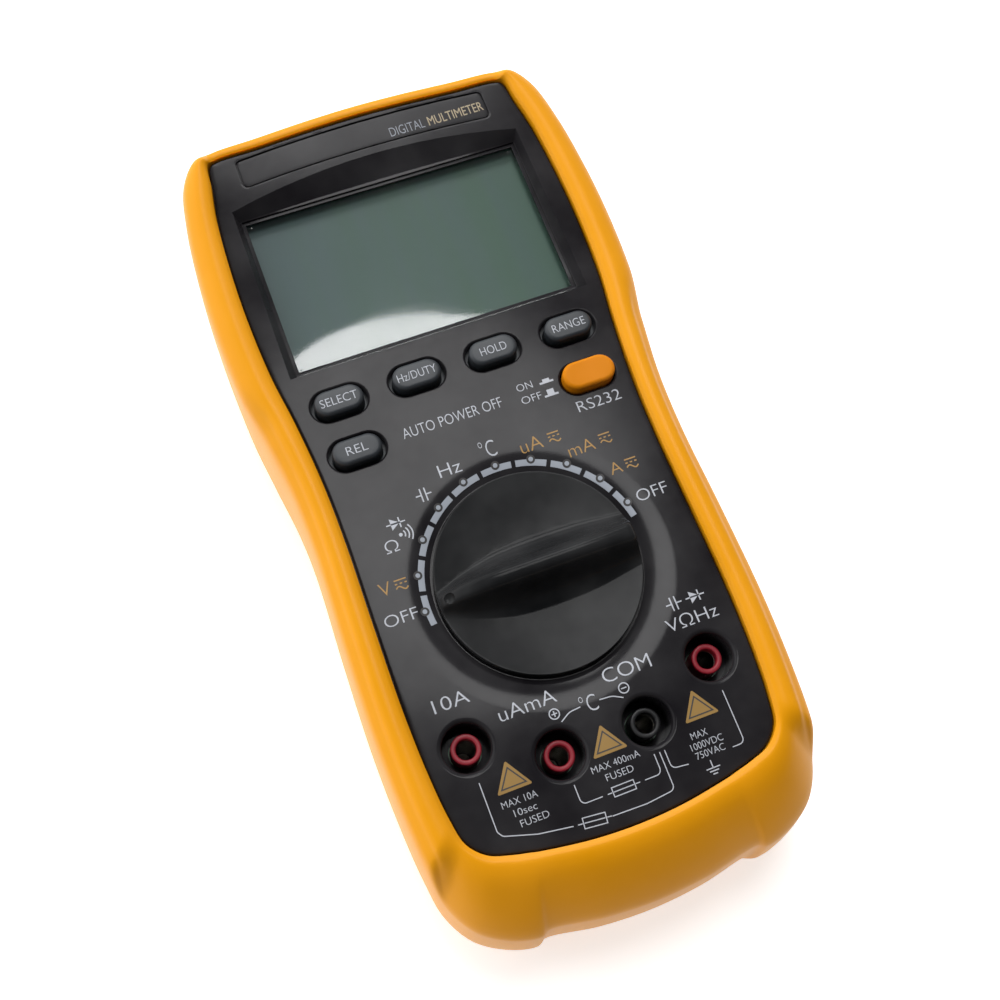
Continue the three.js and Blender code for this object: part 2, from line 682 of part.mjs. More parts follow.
// A pan-head screw that points up, with a cross slot under its head.
function makeScrew([x, y], { headRadius, shaftRadius, headLow, headHigh, tip }) {
  const body = joined(
    post(x, y, headRadius, headLow, headHigh, 12),
    post(x, y, shaftRadius, headHigh - 0.5, tip, 8),
  );
  const slots = [
    block(x, y, headRadius * 1.2, 0.6, headLow - 1, headLow + 0.8),
    block(x, y, 0.6, headRadius * 1.2, headLow - 1, headLow + 0.8),
  ];
  return cutBy(body, ...slots);
}

const CASE_SCREW = { headRadius: 2.8, shaftRadius: 1.35, headLow: -29.5, headHigh: -27.3, tip: -8 };
const BOARD_SCREW = {
  headRadius: 2.2,
  shaftRadius: 0.95,
  headLow: BELOW_BOARD_Z - 1.6,
  headHigh: BELOW_BOARD_Z,
  tip: -5.5,
};
const DOOR_SCREW_SIZE = {
  headRadius: 1.6,
  shaftRadius: 0.9,
  headLow: REAR_BACK_Z + 0.2,
  headHigh: REAR_BACK_Z + 0.9,
  tip: REAR_FLOOR_Z + 1.5,
};

// Fuses lie along Y under the board.
const FUSES = {
  fuse_10a: { middle: [-21, -4], radius: 5, length: 38, cap: 9 },
  fuse_ma: { middle: [-3, -8], radius: 2.6, length: 20, cap: 5 },
};

function fuseAxisZ(radius) {
  return BELOW_BOARD_Z - 2.2 - radius;
}

function makeFuse({ middle: [x, y], radius, length, cap }) {
  const half = length / 2;
  const neck = half - cap;
  const profile = [
    [0, -half], [radius, -half], [radius, -neck], [radius - 0.35, -neck],
    [radius - 0.35, neck], [radius, neck], [radius, half], [0, half],
  ].map(([across, along]) => new THREE.Vector2(across, along));
  const geometry = new THREE.LatheGeometry(profile, 14);
  return solidOf(geometry.translate(x, y, fuseAxisZ(radius)));
}

// A spring clip: an open ring round the cap, with a foot against the board.
function makeFuseClip({ middle: [x, y], radius, length, cap }, end) {
  const axisZ = fuseAxisZ(radius);
  const along = y + end * (length / 2 - cap / 2);
  const width = cap * 0.55;
  const drum = (size, depth) => {
    const tube = new THREE.CylinderGeometry(size, size, depth, 12);
    return solidOf(tube.translate(x, along, axisZ));
  };
  const foot = block(x, along, radius * 1.2, width, axisZ + radius + 0.5, BELOW_BOARD_Z);
  const mouth = block(x, along, radius * 1.2, width + 2, axisZ - radius * 2, axisZ - radius * 0.5);
  return cutBy(joined(drum(radius + 0.9, width), foot), drum(radius + GAP, width + 2), mouth);
}

// A thick bent bar between two solder points.
function makeShunt() {
  const [outside, inside] = [7, 5.2];
  const [bend, corner] = [2, 5];
  const low = -22;
  const bar = new THREE.Shape();
  bar.moveTo(-outside, BELOW_BOARD_Z);
  bar.lineTo(-outside, low + bend);
  bar.absarc(-corner, low + bend, bend, Math.PI, Math.PI * 1.5);
  bar.lineTo(corner, low);
  bar.absarc(corner, low + bend, bend, -Math.PI / 2, 0);
  bar.lineTo(outside, BELOW_BOARD_Z);
  bar.lineTo(inside, BELOW_BOARD_Z);
  bar.lineTo(inside, low + 1.8);
  bar.lineTo(-inside, low + 1.8);
  bar.lineTo(-inside, BELOW_BOARD_Z);
  const geometry = new THREE.ExtrudeGeometry(bar, { depth: 1.8, bevelEnabled: false, curveSegments: 4 });
  return solidOf(geometry.rotateX(Math.PI / 2).translate(-14, -46, 0));
}

function makeBuzzer() {
  const low = BELOW_BOARD_Z - 3.5;
  const profile = [
    [0, low],
    [9.2, low],
    [9.6, low + 0.5],
    [9.6, BELOW_BOARD_Z],
    [0, BELOW_BOARD_Z],
  ];
  return turned(22, 14, profile, 20);
}

function makeChip() {
  return block(2, 45, 14, 14, BELOW_BOARD_Z - 1.5, BELOW_BOARD_Z);
}

function makeCrystal() {
  const can = roundedRectangle(-26, 36, 4.4, 11, 2.1);
  return slab(can, BELOW_BOARD_Z - 3.4, BELOW_BOARD_Z, 4);
}

function makeVaristor() {
  const disc = new THREE.CylinderGeometry(5, 5, 3.4, 16);
  return solidOf(disc.translate(21, -12, BELOW_BOARD_Z - 5));
}

function makeInfraredLed() {
  const profile = [[0, 0], [2.9, 0], [2.9, 1], [2.5, 1], [2.5, 5], [1.6, 6.8], [0, 7.4]];
  const points = profile.map(([across, along]) => new THREE.Vector2(across, along));
  const bulb = new THREE.LatheGeometry(points, ROUND_STEPS);
  return solidOf(bulb.translate(0, 101, BELOW_BOARD_Z - 3));
}

function makeBattery() {
  const [length, width, height] = BATTERY;
  const low = REAR_FLOOR_Z + GAP;
  const middle = low + height / 2;
  const shape = roundedRectangle(0, 0, width, height, 1.5);
  const options = { depth: length - 2.4, bevelEnabled: false, curveSegments: 3 };
  const geometry = new THREE.ExtrudeGeometry(shape, options);
  geometry.rotateX(Math.PI / 2).rotateZ(Math.PI / 2).translate(-length / 2, BATTERY_Y, middle);
  const terminals = [-6.3, 6.3].map((offset) => {
    const stud = new THREE.CylinderGeometry(3, 3, 3, 14);
    return solidOf(stud.rotateZ(Math.PI / 2).translate(length / 2 - 1.5, BATTERY_Y + offset, middle));
  });
  return joined(solidOf(geometry), ...terminals);
}

function makeBatterySnap() {
  const middle = REAR_FLOOR_Z + GAP + BATTERY[2] / 2;
  const x = BATTERY[0] / 2 + GAP;
  return block(x + 1, BATTERY_Y, 2, 24, middle - 5.5, middle + 5.5);
}

// ---------------------------------------------------------------- the whole meter

const meter = new THREE.Group();
meter.position.set(0, DIAL_Y, FACE_HEIGHT);

function place(name, solid, material) {
  const mesh = new THREE.Mesh(geometryOf(solid), MATERIALS[material]);
  mesh.name = name;
  meter.add(mesh);
}

place('holster', makeHolster(), 'holster');
place('tilt_stand', makeStand(), 'holster');
place('front_shell', makeFrontShell(), 'case');
place('rear_shell', makeRearShell(), 'rear_case');
place('battery_door', makeBatteryDoor(), 'rear_case');
place('lcd_window', makeLens(), 'lens');

place('knob', makeKnob(), 'knob');
place('switch_rotor', makeRotor(), 'ceramic');
place('wiper_inner', makeWiper(7, 6), 'brass');
place('wiper_outer', makeWiper(-13, 5), 'brass');
place('detent_spring_left', makeDetentSpring(-1), 'steel');
place('detent_spring_right', makeDetentSpring(1), 'steel');

for (const [name, where] of Object.entries(KEYS)) {
  place(name, makeKey(where), 'key');
}
place('keypad_mat', makeKeypadMat(), 'rubber');
place('button_rs232', makeSwitchButton(), 'orange');
place('push_switch', makePushSwitch(), 'black');

for (const [name, where] of Object.entries(JACKS)) {
  place(`jack_sleeve_${name}`, makeJackSleeve(where), name === 'com' ? 'black' : 'red');
  place(`jack_socket_${name}`, makeJackSocket(where), 'nickel');
}

place('lcd_panel', makeLcdPanel(), 'display');
place('lcd_frame', makeLcdFrame(), 'black');
place('zebra_strip_top', makeZebraStrip(LCD_Y + 20), 'rubber');
place('zebra_strip_bottom', makeZebraStrip(LCD_Y - 20), 'rubber');

place('main_board', makeBoard(), 'board');
for (const [name, fuse] of Object.entries(FUSES)) {
  place(name, makeFuse(fuse), 'ceramic');
  place(`${name}_clip_top`, makeFuseClip(fuse, 1), 'brass');
  place(`${name}_clip_bottom`, makeFuseClip(fuse, -1), 'brass');
}
place('shunt_bar', makeShunt(), 'brass');
place('buzzer', makeBuzzer(), 'black');
place('adc_chip', makeChip(), 'black');
place('crystal', makeCrystal(), 'nickel');
place('varistor', makeVaristor(), 'varistor');
place('ir_led', makeInfraredLed(), 'lens');
place('battery_9v', makeBattery(), 'battery');
place('battery_snap', makeBatterySnap(), 'black');

CASE_SCREWS.forEach((where, i) => {
  place(`case_screw_${i + 1}`, makeScrew(where, CASE_SCREW), 'steel');
});
BOARD_SCREWS.forEach((where, i) => {
  place(`board_screw_${i + 1}`, makeScrew(where, BOARD_SCREW), 'steel');
});
place('battery_door_screw', makeScrew(DOOR_SCREW, DOOR_SCREW_SIZE), 'steel');

export default meter;
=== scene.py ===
# A handheld digital multimeter lying on its back in a yellow slip-on holster: its looks.
# Lengths are millimetres in the face frame: the origin is the dial centre on the face plane,
# +Z points out of the face and +Y towards the display. ORIGIN and MM turn them into metres.

import json
import math

import bmesh
import bpy
from mathutils import Euler, Matrix, Vector


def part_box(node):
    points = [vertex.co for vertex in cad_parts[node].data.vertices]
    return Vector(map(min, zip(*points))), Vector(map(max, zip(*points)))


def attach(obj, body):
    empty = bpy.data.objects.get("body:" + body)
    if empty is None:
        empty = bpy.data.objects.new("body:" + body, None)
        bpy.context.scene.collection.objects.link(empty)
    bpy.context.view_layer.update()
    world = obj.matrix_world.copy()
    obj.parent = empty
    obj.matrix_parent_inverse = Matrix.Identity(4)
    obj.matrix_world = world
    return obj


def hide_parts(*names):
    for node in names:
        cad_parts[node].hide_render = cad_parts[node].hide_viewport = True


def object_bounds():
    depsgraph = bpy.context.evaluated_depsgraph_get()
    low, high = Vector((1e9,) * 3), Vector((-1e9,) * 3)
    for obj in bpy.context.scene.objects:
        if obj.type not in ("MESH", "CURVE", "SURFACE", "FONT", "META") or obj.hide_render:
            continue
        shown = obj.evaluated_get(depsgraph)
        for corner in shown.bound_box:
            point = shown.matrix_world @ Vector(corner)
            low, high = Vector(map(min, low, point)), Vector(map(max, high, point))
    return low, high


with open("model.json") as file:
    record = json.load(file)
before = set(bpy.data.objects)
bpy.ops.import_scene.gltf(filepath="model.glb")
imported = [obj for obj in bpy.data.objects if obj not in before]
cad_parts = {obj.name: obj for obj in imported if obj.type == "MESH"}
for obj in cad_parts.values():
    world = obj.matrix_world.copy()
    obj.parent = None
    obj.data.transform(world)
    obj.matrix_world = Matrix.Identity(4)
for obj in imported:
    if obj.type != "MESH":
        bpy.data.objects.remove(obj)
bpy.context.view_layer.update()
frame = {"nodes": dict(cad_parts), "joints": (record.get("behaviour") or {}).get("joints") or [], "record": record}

# ---------------- driving values

MM = 0.001
selector = next(joint for joint in frame["joints"] if joint["name"] == "selector_turn")
ORIGIN = Vector(selector["pos_m"])
SLOT_OF = {part["node"]: part["material_slot"] for part in frame["record"]["subparts"]}


def node_box(name):
    low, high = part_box(name)
    return (low - ORIGIN) / MM, (high - ORIGIN) / MM


def node_middle(name):
    low, high = node_box(name)
    return (low.x + high.x) / 2, (low.y + high.y) / 2


BASE_Z = node_box("holster")[0].z
SHOULDER_Z = -2.6
PARTING_Z = node_box("front_shell")[0].z
CAVITY_FLOOR_Z = -33.1
SHELL_WALL = 2.2
FACE_PLATE = 2.4
GAP = 0.3
CAVITY_GAP = 0.5

KNOB_RADIUS = 22.0
DISH_DEPTH = 1.1
DISH_FLOOR_RADIUS = 22.6
DISH_RADIUS = 29.6

LENS_LOW, LENS_HIGH = node_box("lcd_window")
LCD_Y = (LENS_LOW.y + LENS_HIGH.y) / 2
KEYS = {name: node_middle(name) for name in
        ("key_select", "key_hz_duty", "key_hold", "key_range", "key_rel")}
BUTTON = node_middle("button_rs232")
JACKS = {name: node_middle(f"jack_socket_{name}") for name in ("10a", "ma", "com", "v")}

# ---------------- meshes

# Which way each corner of a rectangle lies from its middle, in turn.
CORNERS = ((-1, -1), (1, -1), (1, 1), (-1, 1))
SAME_PLACE = 1e-7
LEAST_RADIUS = 0.05


def new_object(name, data):
    item = bpy.data.objects.new(name, data)
    bpy.context.scene.collection.objects.link(item)
    return item


def make_object(name, points, faces):
    """A mesh object from points in the face frame, with its faces turned outwards."""
    mesh = bpy.data.meshes.new(name)
    mesh.from_pydata([ORIGIN + Vector(p) * MM for p in points], [], faces)
    work = bmesh.new()
    work.from_mesh(mesh)
    bmesh.ops.remove_doubles(work, verts=work.verts, dist=SAME_PLACE)
    bmesh.ops.recalc_face_normals(work, faces=work.faces)
    work.to_mesh(mesh)
    work.free()
    return new_object(name, mesh)


def skin(name, rings, joined_ends=False):
    """A closed skin through rings of points; the first and last rings are capped or joined."""
    count = len(rings[0])
    points = [p for ring in rings for p in ring]
    faces = []
    spans = len(rings) if joined_ends else len(rings) - 1
    for k in range(spans):
        here, there = k * count, (k + 1) % len(rings) * count
        for i in range(count):
            j = (i + 1) % count
            faces.append((here + i, here + j, there + j, there + i))
    if not joined_ends:
        faces.append(tuple(reversed(range(count))))
        faces.append(tuple(range(len(points) - count, len(points))))
    return make_object(name, points, faces)


def tower(name, outline, levels):
    """A solid whose outline grows by each level's offset at that level's height."""
    return skin(name, [[(x, y, z) for x, y in outline(offset)] for offset, z in levels])


def turned(name, centre, profile, steps=96, joined_ends=False):
    """A solid of revolution about a vertical axis, from (radius, height) points."""
    rings = []
    for radius, z in profile:
        angles = (2 * math.pi * i / steps for i in range(steps))
        rings.append([(centre[0] + radius * math.cos(a), centre[1] + radius * math.sin(a), z)
                      for a in angles])
    return skin(name, rings, joined_ends)


def rounded(points, radii, steps=5, closed=False):
    """The line through points with its corners rounded; radii is one number or one for each."""
    count = len(points)
    if not isinstance(radii, (list, tuple)):
        radii = [radii] * count
    result = []
    for i, corner in enumerate(points):
        if radii[i] <= 0 or (not closed and i in (0, count - 1)):
            result.append(tuple(corner))
            continue
        here = Vector(corner)
        before, after = Vector(points[i - 1]) - here, Vector(points[(i + 1) % count]) - here
        half = before.angle(after) / 2
        reach = min(radii[i] / math.tan(half), before.length * 0.49, after.length * 0.49)
        start, end = before.normalized() * reach, after.normalized() * reach
        weight = math.sin(half)
        for k in range(steps + 1):
            s = k / steps
            a, b, c = (1 - s) ** 2, 2 * s * (1 - s) * weight, s * s
            result.append(tuple(here + (start * a + end * c) / (a + b + c)))
    return result


def rectangle(centre, width, length, radius):
    """outline(offset) of a rectangle with round corners."""
    def outline(offset):
        w, h = width / 2 + offset, length / 2 + offset
        corners = [(centre[0] + i * w, centre[1] + j * h) for i, j in CORNERS]
        return rounded(corners, max(radius + offset, LEAST_RADIUS), 8, closed=True)
    return outline


def stadium(centre, width, length, steps=14):
    """outline(offset) of a rectangle with half-round ends."""
    def outline(offset):
        radius = length / 2 + offset
        straight = (width - length) / 2
        points = []
        for end in (1, -1):
            for k in range(steps + 1):
                a = math.pi * (k / steps - 0.5) + (0 if end > 0 else math.pi)
                points.append((centre[0] + end * straight + radius * math.cos(a),
                               centre[1] + radius * math.sin(a)))
        return points
    return outline


def discard(piece):
    mesh = piece.data
    bpy.data.objects.remove(piece)
    bpy.data.meshes.remove(mesh)


def combine(piece, operation, tools):
    """Cuts tools from piece, or joins them to it, and keeps only the result."""
    for tool in tools:
        step = piece.modifiers.new("combine", "BOOLEAN")
        step.operation = operation
        step.solver = "EXACT"
        step.object = tool
        graph = bpy.context.evaluated_depsgraph_get()
        result = bpy.data.meshes.new_from_object(piece.evaluated_get(graph))
        piece.modifiers.clear()
        old = piece.data
        piece.data = result
        bpy.data.meshes.remove(old)
        discard(tool)
    return piece


def cut(piece, *tools):
    return combine(piece, "DIFFERENCE", tools)


def weld(piece, *tools):
    return combine(piece, "UNION", tools)


def gather(name, pieces):
    """Several separate solids as one object."""
    work = bmesh.new()
    for piece in pieces:
        work.from_mesh(piece.data)
    mesh = bpy.data.meshes.new(name)
    work.to_mesh(mesh)
    work.free()
    for piece in pieces:
        discard(piece)
    return new_object(name, mesh)


def smooth(piece, angle=32):
    """Smooth shading with edges sharper than angle kept, and flat faces left flat."""
    piece.data.polygons.foreach_set("use_smooth", [True] * len(piece.data.polygons))
    piece.data.set_sharp_from_angle(angle=math.radians(angle))
    step = piece.modifiers.new("face weighted normals", "WEIGHTED_NORMAL")
    step.keep_sharp = True
    step.weight = 80
    return piece


def settle(piece, body, slot, nodes=(), angle=32):
    """Gives a finished piece its shading, material and body, and hides the CAD nodes that it stands for."""
    smooth(piece, angle)
    piece.data.materials.clear()
    piece.data.materials.append(MATERIALS[slot])
    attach(piece, body)
    if nodes:
        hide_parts(*nodes)
    return piece


def curve_value(x, xs, ys):
    """A smooth curve through the points (xs, ys), read at x."""
    last = len(xs) - 1
    x = min(max(x, xs[0]), xs[last])
    i = next(k for k in range(last) if x <= xs[k + 1])
    slope = [(ys[min(k + 1, last)] - ys[max(k - 1, 0)]) / (xs[min(k + 1, last)] - xs[max(k - 1, 0)])
             for k in (i, i + 1)]
    width = xs[i + 1] - xs[i]
    s = (x - xs[i]) / width
    return (ys[i] * (1 + 2 * s) * (1 - s) ** 2 + slope[0] * width * s * (1 - s) ** 2
            + ys[i + 1] * s * s * (3 - 2 * s) + slope[1] * width * s * s * (s - 1))


# ---------------- the rail round the face

# From the top centre down the right side to the bottom centre: inner edge x and y,
# outermost wall x and y, then the section there.
RAIL_STATIONS = [
    (0, 117.2, 0, 120.2, "top"), (12, 116.9, 12, 119.9, "top"),
    (24, 116.3, 24, 119.2, "top"), (34.1, 115.9, 34.6, 118.6, "top"),
    (36.0, 115.0, 39.6, 117.1, "upper"), (36.9, 109.5, 43.2, 112.8, "upper"),
    (38.3, 101.0, 45.7, 102.0, "upper"), (39.2, 88.0, 47.1, 87.0, "upper"),
    (39.4, 75.0, 47.4, 74.0, "upper"), (38.7, 60.0, 46.8, 60.0, "upper"),
    (37.2, 48.0, 45.3, 47.0, "lower"), (36.0, 34.0, 43.7, 34.0, "lower"),
    (35.7, 20.0, 43.3, 20.0, "lower"), (36.1, 0.0, 44.1, 0.0, "lower"),
    (36.3, -18.0, 44.6, -20.0, "lower"), (35.8, -32.0, 44.2, -36.0, "lower"),
    (34.9, -41.0, 43.2, -49.0, "lower"), (33.6, -46.5, 41.6, -57.5, "end"),
    (30.4, -49.9, 37.6, -64.2, "end"), (26.0, -51.5, 31.2, -68.4, "end"),
    (22.3, -52.4, 25.2, -69.9, "end"), (20.6, -52.8, 23.4, -69.0, "end"),
    (10.0, -54.4, 11.5, -70.9, "end"), (0, -54.9, 0, -71.6, "end"),
]

# Rail sections: how far across from inner edge to outermost wall, and the height there.
RAIL_SECTIONS = {
    "top": [(0, 0.2), (0.25, 0.6), (0.5, 0.6), (0.8, 0.2), (0.95, -0.8),
            (1, -3), (1, -10), (1, -21), (0.95, -33)],
    "upper": [(0, 1.2), (0.1, 2), (0.35, 2.5), (0.6, 2), (0.8, 0.9),
              (0.93, -1.2), (0.98, -5), (1, -20), (0.97, -34)],
    "lower": [(0, 1.2), (0.1, 2), (0.3, 2.4), (0.5, 2), (0.62, 0.7),
              (0.8, -0.9), (0.92, -5), (1, -18), (0.97, -34)],
    "end": [(0, 1.2), (0.08, 1.6), (0.25, 0.8), (0.5, -2.2), (0.78, -6.8),
            (0.88, -9.2), (0.91, -11), (1, -24), (0.97, -34)],
}
# How far across from inner edge to outermost wall: the case's side and the edge of the base.
UNDER_RAIL = {"top": 0.1, "upper": 0.45, "lower": 0.42, "end": 0.28}
BASE_EDGE = {"top": 0.6, "upper": 0.82, "lower": 0.82, "end": 0.88}

mirrored = [(-ix, iy, -ox, oy, kind) for ix, iy, ox, oy, kind in reversed(RAIL_STATIONS[1:-1])]
RAIL_LOOP = RAIL_STATIONS + mirrored
RAIL_STEPS = 10 * len(RAIL_LOOP)
CROWN_STEPS = 4
RAIL_WIDTH = 8.0
TINY = 0.000001


def catmull(p0, p1, p2, p3, w, knots):
    """A Catmull-Rom curve between p1 and p2; knots are the spacings of the four points."""
    d0, d1, d2 = knots
    out = []
    for a, b, c, d in zip(p0, p1, p2, p3):
        t1 = ((b - a) / d0 - (c - a) / (d0 + d1) + (c - b) / d1) * d1
        t2 = ((c - b) / d1 - (d - b) / (d1 + d2) + (d - c) / d2) * d1
        out.append(b + t1 * w + (3 * c - 3 * b - 2 * t1 - t2) * w ** 2 + (2 * b - 2 * c + t1 + t2) * w ** 3)
    return out


def on_loop(points, t):
    """A point at turn t round the closed centripetal curve through points."""
    count = len(points)
    place = t % 1 * count
    i = math.floor(place)
    four = [Vector(points[(i + k) % count]) for k in (-1, 0, 1, 2)]
    knots = [max((four[k] - four[k + 1]).length, TINY) ** 0.5 for k in range(3)]
    return Vector(catmull(*four, place - i, knots))


INNER = [station[:2] for station in RAIL_LOOP]
OUTER = [station[2:4] for station in RAIL_LOOP]


def mix_along(t, value_of):
    """A value kept for each kind of section, eased between the two stations around t."""
    place = t % 1 * len(RAIL_LOOP)
    before = math.floor(place) % len(RAIL_LOOP)
    after = (before + 1) % len(RAIL_LOOP)
    part = place - math.floor(place)
    part = part * part * (3 - 2 * part)
    return value_of(RAIL_LOOP[before][4]) * (1 - part) + value_of(RAIL_LOOP[after][4]) * part


rail_spans = []
for step in range(RAIL_STEPS):
    turn = step / RAIL_STEPS
    inside = on_loop(INNER, turn)
    rail_spans.append((turn, inside, on_loop(OUTER, turn) - inside))


def rail_ring(level):
    """The ring of points where level(turn) gives the share across, the offset out and z."""
    ring = []
    for turn, inside, span in rail_spans:
        share, offset, z = level(turn)
        place = inside + span * (share + offset / span.length)
        ring.append((place.x, place.y, z))
    return ring


def face_ring(offset, z):
    """The outline of the face, grown by offset, at height z."""
    return rail_ring(lambda turn: (0, offset - GAP, z))


def under_rail(turn):
    """How far across the rail the case's side stands."""
    return mix_along(turn, UNDER_RAIL.get)


def case_ring(offset, z):
    """The outline of the case below its shoulder, grown by offset, at height z."""
    return rail_ring(lambda turn: (under_rail(turn), offset, z))


def crown_level(k, w):
    """level(turn) for the curve over the crown, part w of the way from its point k to the next."""
    last = len(RAIL_SECTIONS["top"]) - 1
    picks = [max(k - 1, 0), k, min(k + 1, last), min(k + 2, last)]

    def level(turn):
        four = [[mix_along(turn, lambda kind: RAIL_SECTIONS[kind][i][axis]) for axis in (0, 1)]
                for i in picks]
        if k == 0:
            four[0] = [2 * four[1][n] - four[2][n] for n in (0, 1)]
        if k + 2 > last:
            four[3] = [2 * four[2][n] - four[1][n] for n in (0, 1)]
        lengths = [math.hypot((four[i][0] - four[i + 1][0]) * RAIL_WIDTH, four[i][1] - four[i + 1][1])
                   for i in range(3)]
        knots = [max(length, TINY) ** 0.5 for length in lengths]
        share, z = catmull(*four, w, knots)
        return share, 0, z
    return level


# ---------------- materials

RANGE_SOCKETS = ("From Min", "From Max", "To Min", "To Max")


class Nodes:
    """A material's node tree, built up with short calls."""

    def __init__(self, name):
        self.material = bpy.data.materials.new(name)
        self.material.use_nodes = True
        self.tree = self.material.node_tree
        self.shader = self.tree.nodes["Principled BSDF"]

    def add(self, kind, **settings):
        node = self.tree.nodes.new(kind)
        for key, value in settings.items():
            if key.startswith("in_"):
                node.inputs[key[3:].replace("_", " ")].default_value = value
            else:
                setattr(node, key, value)
        return node

    def link(self, source, target):
        self.tree.links.new(source, target)

    def set(self, values):
        for socket, value in values.items():
            self.shader.inputs[socket].default_value = value

    def noise(self, scale, detail):
        coords = self.add("ShaderNodeTexCoord")
        node = self.add("ShaderNodeTexNoise", in_Scale=scale, in_Detail=detail)
        self.link(coords.outputs["Object"], node.inputs["Vector"])
        return node.outputs["Fac"]

    def ramp(self, source, stops):
        node = self.add("ShaderNodeValToRGB")
        elements = node.color_ramp.elements
        while len(elements) < len(stops):
            elements.new(0.5)
        for element, (place, colour) in zip(elements, stops):
            element.position = place
            element.color = (*colour, 1)
        self.link(source, node.inputs["Fac"])
        return node.outputs["Color"]

    def span(self, source, low, high, start=0.3, end=0.7):
        """The part of a source from start to end, stretched to run from low to high."""
        node = self.add("ShaderNodeMapRange")
        for socket, value in zip(RANGE_SOCKETS, (start, end, low, high)):
            node.inputs[socket].default_value = value
        self.link(source, node.inputs["Value"])
        return node.outputs["Result"]

    def bump(self, source, distance):
        node = self.add("ShaderNodeBump", in_Distance=distance)
        self.link(source, node.inputs["Height"])
        self.link(node.outputs["Normal"], self.shader.inputs["Normal"])


def lerp(a, b, part):
    return tuple(x + (y - x) * part for x, y in zip(a, b))


def moulded(name, colour, roughness, grain=9000, relief=0.02, shade=0.12, specular=0.5,
            coat=0.0, coat_rough=0.3, sheen=0.0, metallic=0.0):
    """Moulded plastic, rubber or metal: faint mottling, a fine grain and uneven gloss."""
    nodes = Nodes(name)
    dark = lerp(colour, (0, 0, 0), shade)
    light = lerp(colour, (1, 1, 1), shade * 0.12)
    cloud = nodes.noise(60, 3)
    nodes.link(nodes.ramp(cloud, [(0.3, dark), (0.7, light)]), nodes.shader.inputs["Base Color"])
    fine = nodes.noise(grain, 2)
    nodes.link(nodes.span(fine, roughness - 0.05, roughness + 0.05), nodes.shader.inputs["Roughness"])
    nodes.bump(fine, relief * MM)
    nodes.set({"Specular IOR Level": specular, "Metallic": metallic, "Coat Weight": coat,
               "Coat Roughness": coat_rough, "Sheen Weight": sheen})
    return nodes.material


def window_clear():
    """The clear display window: a thin glossy sheet, faintly grey."""
    nodes = Nodes("window_clear")
    haze = nodes.noise(40, 2)
    nodes.link(nodes.ramp(haze, [(0.3, (0.02, 0.025, 0.025)), (0.7, (0.03, 0.035, 0.035))]),
               nodes.shader.inputs["Base Color"])
    nodes.link(nodes.span(haze, 0.02, 0.05), nodes.shader.inputs["Roughness"])
    nodes.set({"Alpha": 0.25, "IOR": 1.75, "Specular IOR Level": 1.0})
    return nodes.material


def lcd_glass():
    """The reflective display: grey-green, darker to one side as painted shade, with faint upright streaks."""
    nodes = Nodes("lcd_glass")
    coords = nodes.add("ShaderNodeTexCoord")
    stretch = nodes.add("ShaderNodeMapping")
    stretch.inputs["Scale"].default_value = (160, 9, 9)
    nodes.link(coords.outputs["Object"], stretch.inputs["Vector"])
    streaks = nodes.add("ShaderNodeTexNoise", in_Scale=1.0, in_Detail=2.0)
    nodes.link(stretch.outputs["Vector"], streaks.inputs["Vector"])
    split = nodes.add("ShaderNodeSeparateXYZ")
    nodes.link(coords.outputs["Object"], split.inputs["Vector"])
    # Painted shade: a ramp across the display's width shifts its colour, darker towards one side.
    side = nodes.span(split.outputs["X"], -0.15, 0.35, -0.032, 0.032)
    streaks_and_shade = nodes.add("ShaderNodeMath", operation="ADD")
    nodes.link(streaks.outputs["Fac"], streaks_and_shade.inputs[0])
    nodes.link(side, streaks_and_shade.inputs[1])
    nodes.link(nodes.ramp(streaks_and_shade.outputs["Value"], [(0.3, (0.13, 0.225, 0.225)), (0.9, (0.115, 0.24, 0.17))]),
               nodes.shader.inputs["Base Color"])
    nodes.link(nodes.span(streaks.outputs["Fac"], 0.3, 0.4), nodes.shader.inputs["Roughness"])
    return nodes.material


